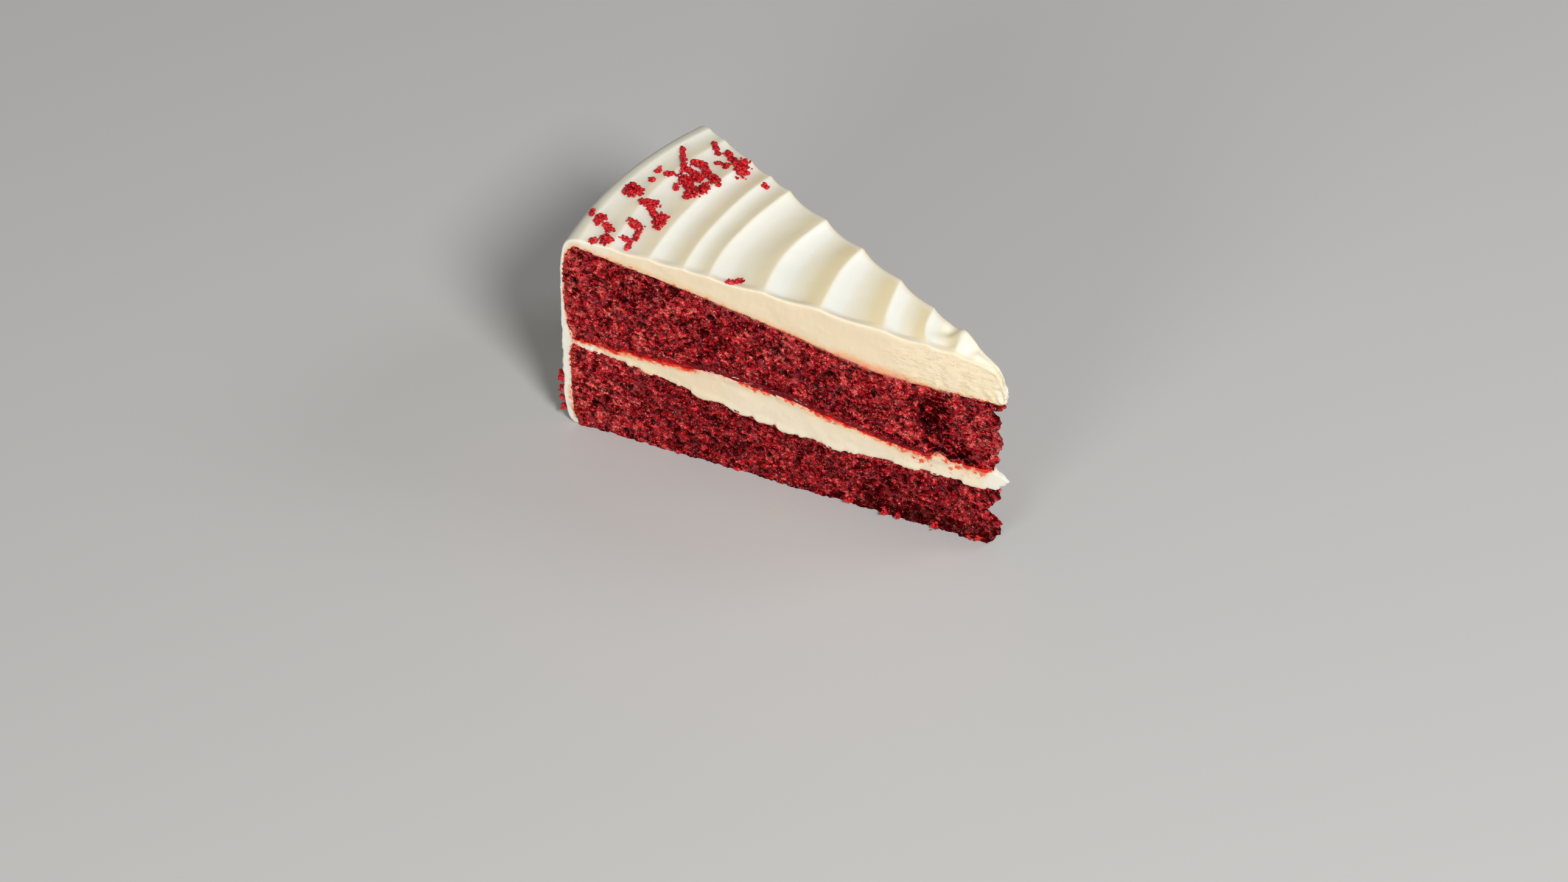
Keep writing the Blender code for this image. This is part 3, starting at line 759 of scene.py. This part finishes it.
def lower_marks(s, z, above_bottom, below_top, face):
    """Colour masks of the lower sponge: a brown base towards the tip and faint stains."""
    patch = noise(face, 3.0, 71)
    fine = noise(face, 0.9, 72)
    height = 3.0 + 5.0 * ramp(s, 85, 110)
    brown = ramp(height + 3.0 * patch + 1.2 * fine - above_bottom, 0, 3.5) * ramp(s, 76, 98) * 0.72
    outside = 0 * s + FAR_OUTSIDE
    return {"band": outside,
            "edge": outside,
            "smear": 0.9 * ramp(s, 20, 60) - 0.8 - below_top,
            "streak": 0 * s,
            "stain": 0.4 * ramp(noise(face, 12, 74), 0.0, 0.7) * ramp(s, 20, 60),
            "brown": brown,
            "rim": rim_reach(s, z),
            "bright": rim_and_tip_glow(s) + 0.25 * noise(face, 9, 75) - 0.9 * ramp(s, 10, 50)}


def floor_line(r):
    return np.zeros_like(np.asarray(r, float))


# ---- filling

# Where cream is smeared over the sponge below or above it: (distance from the rim, half width, reach)
LOBES_DOWN = ((9, 2.5, 0.6), (27, 3, 0.5), (44.5, 3.2, 1.5), (57, 3.5, 1.0), (64, 4, 0.7), (72, 3, 0.9),
              (88, 3, 0.6), (113, 3, 0.8), (133, 4, 0.8))
LOBES_UP = ((49, 6, 0.5), (72, 5, 0.5), (122, 3.2, 2.2))
SMEAR_THICKNESS = 0.42
OVERLAP_BELOW = 0.25  # by which the cream reaches into the sponges' solids
OVERLAP_ABOVE = 0.3
FILLING_RIM = sponge_rim(36.0) + 0.3


def lobe_reach(s, lobes):
    """How far the cream reaches past its layer at the distance s from the rim."""
    reach = 0 * s
    for centre, half_width, longest in lobes:
        reach = np.maximum(reach, longest * np.sqrt(np.clip(1 - ((s - centre) / half_width) ** 2, 0, 1)))
    return reach


def filling_masks(s, face, depth, rise):
    """Colour masks of the filling's cut: depth is counted from the upper sponge, rise from the lower."""
    fringe = fringe_along(s) * (1 + rough(face, (0.45, 3.4, 84), (0.35, 1.4, 85)))
    pale_ends = ramp(s, 16, 5) + ramp(s, 134.5, 137.5)
    specks = np.maximum(ramp(s, 78, 82) * ramp(s, 104, 99) * ramp(depth, 2.8, 1.4),
                        ramp(s, 109, 113) * ramp(s, 139, 134) * ramp(depth, 5.5, 3.0))
    return {"cut": 0 * s + 1,
            "slope_shade": 0 * s,
            "pale": np.maximum(ramp(depth, 1.0, 5.0) * ramp(s, 45, 60) * 0.3, pale_ends),
            "halo": np.maximum(0.8 + 1.7 * fringe - depth, 0.4 + 0.5 * fringe - rise),
            "orange": 1.7 * fringe - 0.3 - depth,
            "pink": 0.9 - depth,
            "red": 1.2 * fringe - 0.7 - depth,
            "specks": specks}


def filling(material):
    """The cream between the sponges, its cut face a little uneven and stained from above."""
    along, across, up = FILLING_STEPS
    level = np.linspace(0, 1, up + 1)[None, :]
    share = np.linspace(0, 1, along + 1)[:, None]
    tip_z = FILLING_TIP[0][0] + level * (FILLING_TIP[-1][0] - FILLING_TIP[0][0])
    jag = np.stack([0 * tip_z, 0 * tip_z, tip_z], -1)
    r_tip = line(FILLING_TIP)(tip_z) + rough(jag, (0.9, 0.9, 5), (0.5, 0.45, 6))
    r = r_tip + (FILLING_RIM - r_tip) * share
    s = CAKE_RADIUS - r
    plan = place(r, 0.0, 0)
    uneven = rough(plan, (0.35, 2.4, 7), (0.25, 0.9, 9))
    low = lower_top(r) - OVERLAP_BELOW + uneven - lobe_reach(s, LOBES_DOWN)
    high = upper_bottom(r) + OVERLAP_ABOVE + 0.25 * noise(plan, 2.1, 8) + lobe_reach(s, LOBES_UP)
    z = low + level * (high - low)
    past = np.maximum(lower_top(r) - z, z - upper_bottom(r))
    lobes = high - low - upper_bottom(r) + lower_top(r)
    smear = SMEAR_THICKNESS * ramp(past, -2.6, 0.4) * ramp(lobes, 0.5, 1.1)
    points = np.stack([place(r, t, z) for t in np.linspace(0, 1, across + 1)], 1)
    reliefs, masks = [], []
    for side in (0, 1):
        face = place(r, side, z)
        height = rough(face, (0.20, 6, 81), (0.09, 2.2, 82), (0.04, 0.9, 83)) - 0.12 + smear
        reliefs.append(height * thinness(r))
        masks.append(filling_masks(s, face, high - OVERLAP_ABOVE - z, z - low - OVERLAP_BELOW))
    return layer_piece("cream_layer", points, reliefs, masks, material)


# ---- frosting

def ridge_radius(i, t):
    near, far = RIDGES[i]
    return near + (far - near) * t


def groove_share(u):
    """Depth share of a groove from its outer ridge (u = 0) to its inner one (u = 1)."""
    u = np.clip(u, 0, 1)
    inner_way = 1 - GROOVE_DEEPEST
    inner_power = GROOVE_CURVE * inner_way / GROOVE_DEEPEST
    return (u / GROOVE_DEEPEST) ** GROOVE_CURVE * ((1 - u) / inner_way) ** inner_power


# Painted shade, warm and tan, on the slope of a groove that faces the rim: along the groove, and for each
# groove
SLOPE_SHADE_SHARE = ((0.0, 0.25), (0.06, 0.0), (0.26, 0.0), (0.40, 0.38), (0.55, 0.5), (0.78, 1.0), (0.94, 1.0),
             (1.0, 0.3))
GROOVE_SLOPE_SHADE = (0.87, 1.0, 1.1, 1.15, 0.7, 0.6, 0.73, 0.53, 0.33)
SLOPE_SHADE_ELSEWHERE = 0.35

# Lumps and dents that the comb left near the tip: (r, t, height, radius)
TIP_LUMPS = ((20.5, 0.80, -1.2, 2.3), (16.0, 0.86, 0.7, 2.0), (17.0, 0.45, -0.5, 2.2),
             (11.5, 0.22, -0.6, 1.8), (8.3, 0.42, 0.6, 1.7), (14.5, 0.60, 0.35, 1.6),
             (22.0, 0.35, 0.4, 2.4), (9.0, 1.0, -1.5, 2.6), (3.0, 0.95, -1.3, 2.4))

# Width of the white top of the cut: (distance from the rim, width)
WHITE_EDGE = ((0, 0.8), (30, 1.2), (60, 2.0), (120, 2.2), (140, 1.2))
OVERHANG = 0.12  # by which the frosting's cut stands out from the sponge's
ROUND_EDGE = 0.35  # radius of the frosting's edge at the cuts
NOSE_SHARE = 0.55  # of the first ridge's radius, where the tip's nose turns into the top
OVERLAP_SPONGE = 0.35  # by which the frosting reaches into the upper sponge's top
OVERLAP_RIM = 0.2  # and into its rim


def groove_depth(r, t):
    """Depth of the combed top under its ridges, and the painted shade of a point on a slope that faces the
    rim.
    """
    waver = r + 0.35 * np.sin(5.0 * t + 0.11 * r) * np.minimum(1, r / 30)
    depth, slope_shade = 0 * r * t, 0 * r * t + SLOPE_SHADE_ELSEWHERE
    for i, groove in enumerate(GROOVES):
        inner, outer = ridge_radius(i, t), ridge_radius(i + 1, t)
        inside = (waver > inner) & (waver < outer)
        u = np.clip((outer - waver) / (outer - inner), 0, 1)
        depth = depth + np.where(inside, groove * groove_share(u), 0)
        slope = np.interp(u, *zip(*SLOPE_SHADE_SHARE))
        slope_shade = np.where(inside, SLOPE_SHADE_ELSEWHERE + (slope - SLOPE_SHADE_ELSEWHERE) * GROOVE_SLOPE_SHADE[i], slope_shade)
    return depth, slope_shade


def top_height(r, t):
    """Height of the combed top."""
    depth, _ = groove_depth(r, t)
    across = t * width(r)
    near_cut = CUT_GROOVE + (1 - CUT_GROOVE) * ramp(across, 0.2, CUT_SMEAR)
    tip_tilt = TIP_TILT * (t - 0.5) * np.maximum(0, 1 - r / LEVEL_RADIUS)
    rim_tilt = RIM_TILT * t * t * np.maximum(0, (r - LEVEL_RADIUS) / (ridge_radius(-1, t) - LEVEL_RADIUS))
    height = CREST_HEIGHT - top_drop(r) + tip_tilt - rim_tilt - depth * near_cut
    for centre_r, centre_t, lift, radius in TIP_LUMPS:
        away = (r - centre_r) ** 2 + ((t - centre_t) * width(r)) ** 2
        height = height + lift * np.exp(-away / radius ** 2)
    return height


def surface_height(x, y):
    """Height of the frosting's top over a point of the plan."""
    r = np.hypot(x, y)
    t = 0.5 + y / width(r)
    r = r / shrink(r, t)
    flat_edge = ridge_radius(-1, t)
    beyond = np.maximum(0, r - flat_edge)
    return top_height(np.minimum(r, flat_edge), t) - EDGE_DROP * beyond * beyond


def spread_evenly(points, count):
    """count + 1 places along a broken line, evenly spaced."""
    points = np.asarray(points, float)
    lengths = np.r_[0, np.cumsum(np.linalg.norm(np.diff(points, axis=0), axis=1))]
    marks = np.linspace(0, lengths[-1], count + 1)
    return np.stack([np.interp(marks, lengths, column) for column in points.T], -1)


def rounded(points, passes):
    """A broken line with its corners cut off a few times over, its ends kept."""
    points = np.asarray(points, float)
    for _ in range(passes):
        cut = [points[0]]
        for a, b in zip(points[:-1], points[1:]):
            cut += [0.75 * a + 0.25 * b, 0.25 * a + 0.75 * b]
        points = np.array(cut + [points[-1]])
    return points


def frosting_section(t):
    """Outer and inner (r, z) lines of the frosting at share t across, with the same count of points."""
    start, end = ridge_radius(0, t) * NOSE_SHARE, ridge_radius(-1, t)
    nose = [(radius, height) for height, radius in FROSTING_TIP]
    nose.append((start, float(top_height(np.float64(start), t))))
    nose = spread_evenly(rounded(nose, 3), NOSE_STEPS)
    radii = np.linspace(start, end, FROSTING_STEPS[0] + 1)
    top = np.stack([radii, top_height(radii, t)], -1)
    wall = [(end, float(top_height(np.float64(end), t)))]
    for height, radius in FROSTING_RIM:
        share = max(0.0, (height - SHOULDER_HEIGHT) / (CREST_HEIGHT - SHOULDER_HEIGHT))
        wall.append((radius, height - RIM_TILT * t * t * share))
    wall = spread_evenly(rounded(wall, 2), WALL_STEPS)
    outer = np.concatenate([nose[:-1], top[:-1], wall])
    nose_in = np.linspace(UPPER_TIP[-1][1], start, NOSE_STEPS + 1)[:-1]
    inner_r = np.concatenate([nose_in, radii[:-1]])
    inner_top = np.stack([inner_r, upper_top(inner_r) - OVERLAP_SPONGE], -1)
    rim_z = upper_top(CAKE_RADIUS)
    wall_z = np.minimum(wall[:, 1], rim_z)
    above_sponge = np.minimum(wall[:, 0], sponge_rim(rim_z))
    wall_r = np.where(wall[:, 1] >= rim_z, above_sponge, sponge_rim(wall_z) - OVERLAP_RIM)
    return outer, np.concatenate([inner_top, np.stack([wall_r, wall_z], -1)])


def across_steps(count):
    """Shares across, closer together beside the two cuts."""
    u = np.linspace(-1, 1, count + 1)
    return 0.5 + 0.5 * np.sign(u) * (1 - (1 - np.abs(u)) ** 1.35)


def round_off(outer, inner, edge):
    """The outer line moved in beside a cut, so that the frosting's edge there is round."""
    past = ROUND_EDGE - edge
    dip = np.where(past > 0, ROUND_EDGE - np.sqrt(np.maximum(0, ROUND_EDGE ** 2 - past ** 2)), 0)
    towards = inner - outer
    span = np.linalg.norm(towards, axis=1, keepdims=True)
    return outer + towards / np.maximum(span, 0.1) * np.minimum(dip * 0.9, span[:, 0] * 0.4)[:, None]


def frosting_columns(t_steps):
    """Points of the frosting, and how cut each one is, how much painted shade its slope gets and how far
    from the sponge it is.
    """
    depth_share = np.linspace(0, 1, FROSTING_STEPS[1] + 1)
    white_edge = line(WHITE_EDGE)
    columns = []
    for t in t_steps:
        outer, inner = frosting_section(t)
        edge = np.minimum(t, 1 - t) * width(outer[:, 0])
        outer = round_off(outer, inner, edge)
        section = outer[:, None] + (inner - outer)[:, None] * depth_share[None, :, None]
        r, z = section[..., 0], section[..., 1]
        _, slope_shade = groove_depth(outer[:, 0], t)
        slope_shade = SLOPE_SHADE_ELSEWHERE + (slope_shade - SLOPE_SHADE_ELSEWHERE) * ramp(edge, 0.3, 2.5)
        depth = np.linalg.norm(section - outer[:, None], axis=-1)
        reach = white_edge(CAKE_RADIUS - outer[:, :1])
        # The cut's warmer cream reaches round the rounded edge and onto the top beside it: partly cream
        # smeared there by the knife, partly painted shade that damps the light the rounded edge catches.
        on_cut = 0.85 + 0.15 * ramp(depth, 0.0, reach)
        beside = 0.85 * ramp(edge[:, None], 0.8 * reach, 0.0) * ramp(depth, 1.5, 0.5)
        nose = ramp(outer[:, :1], 4.5, 2.5) * ramp(z, 75.5, 73.5) * ramp(t, 0.8, 0.4)
        cut = np.maximum(on_cut if t in (0, 1) else beside, nose)
        near_sponge = np.linalg.norm(section - inner[:, None], axis=-1)
        columns.append((place(r, t, z), cut, np.broadcast_to(slope_shade[:, None], r.shape), near_sponge))
    return [np.stack(column, 2) for column in zip(*columns)]


def roughen_rim_and_tip(points, t_steps):
    """Push the outside of the frosting in and out, most beside the cuts and at the tip."""
    outside = points[:, 0]
    r, z = np.hypot(outside[..., 0], outside[..., 1]), outside[..., 2]
    edge = np.minimum(t_steps, 1 - t_steps) * width(r)
    wall = ramp(z, 78, 71) * ramp(r, 100, 130)
    nose = ramp(z, 72, 67) * ramp(r, 8, 2)
    torn = rough(outside, (0.25, 2.0, 101), (0.18, 0.9, 102)) - 0.08
    torn_edge = ramp(edge, 3.5, 0.3) * torn * ramp(z, 72, 58)
    strokes = 0.22 * noise(outside * np.array([0.22, 0.22, 1.0]), 4.0, 108)
    flakes = rough(outside, (0.8, 1.5, 104), (0.5, 0.8, 105))
    amount = wall * (0.10 * noise(outside, 6, 103) + strokes - 0.05 + torn_edge)
    outside[..., :2] += amount[..., None] * outside[..., :2] / np.maximum(r, 1)[..., None]
    outside[..., 0] += nose * flakes


def roughen_cuts(points):
    """Push the frosting's two cut faces in and out, most near the tip, and fray their lower edge."""
    for side, j in enumerate((0, -1)):
        face = points[:, :, j]
        from_rim = CAKE_RADIUS + face[..., 0]
        over_sponge = ramp(from_rim, 4, 9)
        torn = ramp(face[..., 2], 74, 64) * ramp(from_rim, 128, 142)
        near_tip = ramp(from_rim, 100, 125) * ramp(face[..., 2], 78, 74) * (1 - torn)
        strokes = noise(face * np.array([0.4, 0.4, 1.0]), 1.5, 99)
        height = rough(face, (0.16, 5, 93 + side), (0.06, 1.5, 95), (0.03, 0.7, 96))
        height = height + torn * rough(face, (0.5, 1.6, 97), (0.3, 0.8, 98))
        height = height + near_tip * (0.25 * strokes + 0.12 * noise(face, 0.9, 98)) + OVERHANG * over_sponge
        points[:, :, j] += height[..., None] * cut_normal(side)
        frayed = rough(face[:, -1], (0.40, 2.4, 106), (0.25, 0.9, 107))
        points[:, -1, j, 2] += over_sponge[:, -1] * frayed


def wall_stain(z):
    """How red the cut side frosting is at a height: two smears above the foot."""
    return np.exp(-((z - 13) / 1.8) ** 2) + np.exp(-((z - 7.5) / 1.6) ** 2)


def frosting(material):
    """The frosting over the top and down the rim, as one thick bent strip."""
    t_steps = across_steps(FROSTING_STEPS[2])
    points, cut, slope_shade, near_sponge = frosting_columns(t_steps)
    points[:, 0, :, 2] += rough(points[:, 0], (0.10, 9, 91), (0.05, 4, 92))
    roughen_rim_and_tip(points, t_steps)
    roughen_cuts(points)
    x, y, z = np.moveaxis(points, -1, 0)
    from_rim = CAKE_RADIUS + x / COS_HALF
    on_wall = ramp(np.hypot(x, y), 136, 137.5) * ramp(z, 75, 72)
    glow = glow_along(from_rim) * (1 - on_wall) + on_wall * (0.15 + 0.5 * wall_stain(z))
    pale_rim = np.maximum(on_wall * ramp(z, 74, 62), 0.75 * ramp(from_rim, 22, 6))
    white_tip = ramp(x, -2.6, -0.6) * ramp(z, 70, 67)
    inside = FAR_OUTSIDE * (1 - cut) - near_sponge
    attributes = {"cut": cut,
                  "slope_shade": slope_shade * (1 - cut),
                  "flaky": cut * ramp(CAKE_RADIUS + x, 96, 120) * ramp(z, 77, 73),
                  "pale": np.maximum(pale_rim, white_tip),
                  "halo": 1.7 - 1.1 * on_wall + 3.0 * glow + inside,
                  "pink": 3.2 * glow - 0.2 + inside,
                  "orange": 0.6 * glow + 0.45 + inside,
                  "red": 0 * cut + FAR_OUTSIDE,
                  "specks": 0 * cut}
    return lattice_piece("frosting_cover", points, attributes, material, flip=True)


# ---- crumbs

FLOOR_GAP = 0.02  # lowest point of a crumb
GRANULE = (0.5, 1.0)  # smallest and largest width of a granule of crumb
CORE = (1.1, 1.6)  # the same for the lumps inside a trail
WALL_CLUMP = 4.5  # granules in a clump on the rim, for its width squared
FOOT_CLUMP = 2.0  # and in one at the foot of the cut
LUMPINESS = 0.42  # depth of the lumps and dents of a granule, as a share of its radius

# What a trail is made of: (widths, count for each square millimetre, scatter, height of the pile)
TRAIL_PARTS = ((CORE, 0.55, 0.17, 0.28), (GRANULE, 4.8, 0.26, 0.6))


def ball(subdivisions):
    """Points and faces of a round ball of radius 1."""
    shape = bmesh.new()
    bmesh.ops.create_icosphere(shape, subdivisions=subdivisions, radius=1)
    points = np.array([v.co for v in shape.verts])
    faces = np.array([[v.index for v in f.verts] for f in shape.faces])
    shape.free()
    return points, faces


def turns(draw, count):
    """Random rotations, as matrices."""
    q = draw.normal(size=(count, 4))
    q /= np.linalg.norm(q, axis=1, keepdims=True)
    w, x, y, z = q.T
    rows = [[1 - 2 * (y * y + z * z), 2 * (x * y - z * w), 2 * (x * z + y * w)],
            [2 * (x * y + z * w), 1 - 2 * (x * x + z * z), 2 * (y * z - x * w)],
            [2 * (x * z - y * w), 2 * (y * z + x * w), 1 - 2 * (x * x + y * y)]]
    return np.array(rows).transpose(2, 0, 1)


def granules(name, centres, sizes, draw, material):
    """One piece of many small uneven lumps, at the given middles and of the given widths."""
    ball_points, ball_faces = ball(2)
    count = len(centres)
    number = np.arange(count)[:, None, None]
    shape = ball_points[None] * draw.uniform(0.7, 1.25, (count, 1, 3))
    lumpy = 1 + LUMPINESS * noise(shape * 1.7 + number * 7.3, 1.0, 3)
    lumpy += 0.5 * LUMPINESS * noise(shape * 3.4 + number * 5.1, 1.0, 4)
    shape = np.einsum("nij,npj->npi", turns(draw, count), shape * lumpy[..., None])
    points = centres[:, None] + shape * sizes[:, None, None] / 2
    points[..., 2] = np.maximum(points[..., 2], FLOOR_GAP)
    faces = ball_faces[None] + number * len(ball_points)
    tone = np.repeat(draw.uniform(0, 1, count), len(ball_points))
    return make_mesh(name, points.reshape(-1, 3), faces.reshape(-1, 3), {"tone": tone}, material)


def trail_granules(draw):
    """Middles and widths of the granules that make up the crumbs on the top."""
    centres, sizes = [], []
    for x0, y0, x1, y1, wide in CRUMB_TRAILS:
        area = (math.hypot(x1 - x0, y1 - y0) + 0.6 * wide) * wide
        for widths, per_area, scatter, pile in TRAIL_PARTS:
            count = max(3, int(per_area * area ** 0.97))
            share = draw.uniform(-0.06, 1.06, count)
            stray = np.clip(draw.normal(0, scatter, (count, 2)), -0.46, 0.46) * wide
            x = x0 + (x1 - x0) * share + stray[:, 0]
            y = y0 + (y1 - y0) * share + stray[:, 1]
            size = draw.uniform(*widths, count)
            off = np.linalg.norm(stray, axis=1) / (0.5 * wide)
            lift = draw.uniform(0.1, 1, count) * np.clip(1.15 - off, 0.05, 1) * wide * pile
            centres.append(np.stack([x, y, surface_height(x, y) + size * 0.25 + lift - 0.2], -1))
            sizes.append(size)
    return np.concatenate(centres), np.concatenate(sizes)


def clump(draw, middle, wide, count):
    """Granules bunched round a point."""
    centres = np.asarray(middle) + draw.normal(0, 0.22 * wide, (count, 3))
    return centres, draw.uniform(GRANULE[0], 1.3 * GRANULE[1], count)


def side_granules(draw):
    """Granules of the crumbs on the rim near the foot and along the foot of the near cut."""
    found = []
    for t, height, wide in WALL_CRUMBS:
        found.append(clump(draw, place(WALL_CRUMB_RADIUS, t, height), wide, int(WALL_CLUMP * wide * wide)))
    for r, wide in FOOT_CRUMBS:
        middle = place(float(r), 0.0, 0.5 * wide) + 0.1 * wide * cut_normal(0)
        found.append(clump(draw, middle, wide * 0.8, int(FOOT_CLUMP * wide * wide)))
    centres = np.concatenate([c for c, _ in found])
    sizes = np.concatenate([size for _, size in found])
    centres[:, 2] = np.maximum(centres[:, 2], sizes * 0.45)
    return centres, sizes


# ---- stage

FLOOR_COLOUR = (0.56, 0.56, 0.56)
FLOOR_REACH = 3.0
SKY_COLOUR = (1.0, 0.985, 0.96)
SKY_STRENGTH = 0.16

# Name, place, width, power and colour of each light
LIGHTS = (("key", (1.02, -0.56, 1.3), 0.5, 22, (1.0, 0.985, 0.96)),
          ("front", (0.15, -1.5, 0.5), 0.7, 9.5, (1.0, 0.97, 0.92)),
          ("back", (0.9, 0.9, 1.0), 0.6, 4, (1.0, 1.0, 1.0)))
LIT_POINT = (0, 0, 0.04)


def make_floor():
    mesh = bpy.data.meshes.new("floor")
    corners = [(x * FLOOR_REACH, y * FLOOR_REACH, 0) for x, y in ((-1, -1), (1, -1), (1, 1), (-1, 1))]
    mesh.from_pydata(corners, [], [(0, 1, 2, 3)])
    mesh.materials.append(Surface("floor", Roughness=0.5).finish(Base_Color=(*FLOOR_COLOUR, 1)))
    floor = bpy.data.objects.new("floor", mesh)
    bpy.context.scene.collection.objects.link(floor)


def aim(thing, location, target):
    thing.location = location
    thing.rotation_mode = "QUATERNION"
    thing.rotation_quaternion = (Vector(target) - Vector(location)).to_track_quat("-Z", "Y")


def make_lights():
    world = bpy.data.worlds.new("studio")
    world.use_nodes = True
    background = world.node_tree.nodes["Background"]
    background.inputs["Color"].default_value = (*SKY_COLOUR, 1)
    background.inputs["Strength"].default_value = SKY_STRENGTH
    bpy.context.scene.world = world
    for name, location, size, power, colour in LIGHTS:
        light = bpy.data.lights.new(name, "AREA")
        light.shape = "DISK"
        light.size = size
        light.energy = power
        light.color = colour
        lamp = bpy.data.objects.new(name, light)
        bpy.context.scene.collection.objects.link(lamp)
        aim(lamp, location, LIT_POINT)


def make_camera():
    data = bpy.data.cameras.new("camera")
    data.sensor_width = SENSOR_WIDTH
    data.lens = LENS
    data.clip_end = 20
    camera = bpy.data.objects.new("camera", data)
    bpy.context.scene.collection.objects.link(camera)
    aim(camera, in_frame(CAMERA_PLACE), in_frame(CAMERA_TARGET))
    bpy.context.scene.camera = camera
    bpy.context.scene.view_settings.view_transform = "Standard"


# ---- the slice

def make_slice():
    sponge_look, crumb_look, cream_look = sponge_material(), crumb_material(), cream_material()
    lower = sponge("lower_sponge", floor_line, lower_top, LOWER_TIP, LOWER_HOLES, lower_marks,
                   sponge_look, seed=200)
    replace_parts(lower, "sponge_bottom")
    upper = sponge("upper_sponge", upper_bottom, upper_top, UPPER_TIP, UPPER_HOLES, upper_marks,
                   sponge_look, seed=500)
    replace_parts(upper, "sponge_top")
    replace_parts(filling(cream_look), "cream_filling")
    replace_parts(frosting(cream_look), "frosting")
    draw = np.random.default_rng(7)
    granules("top_crumbs", *trail_granules(draw), draw, crumb_look)
    granules("side_crumbs", *side_granules(draw), draw, crumb_look)


make_slice()
make_floor()
make_lights()
make_camera()
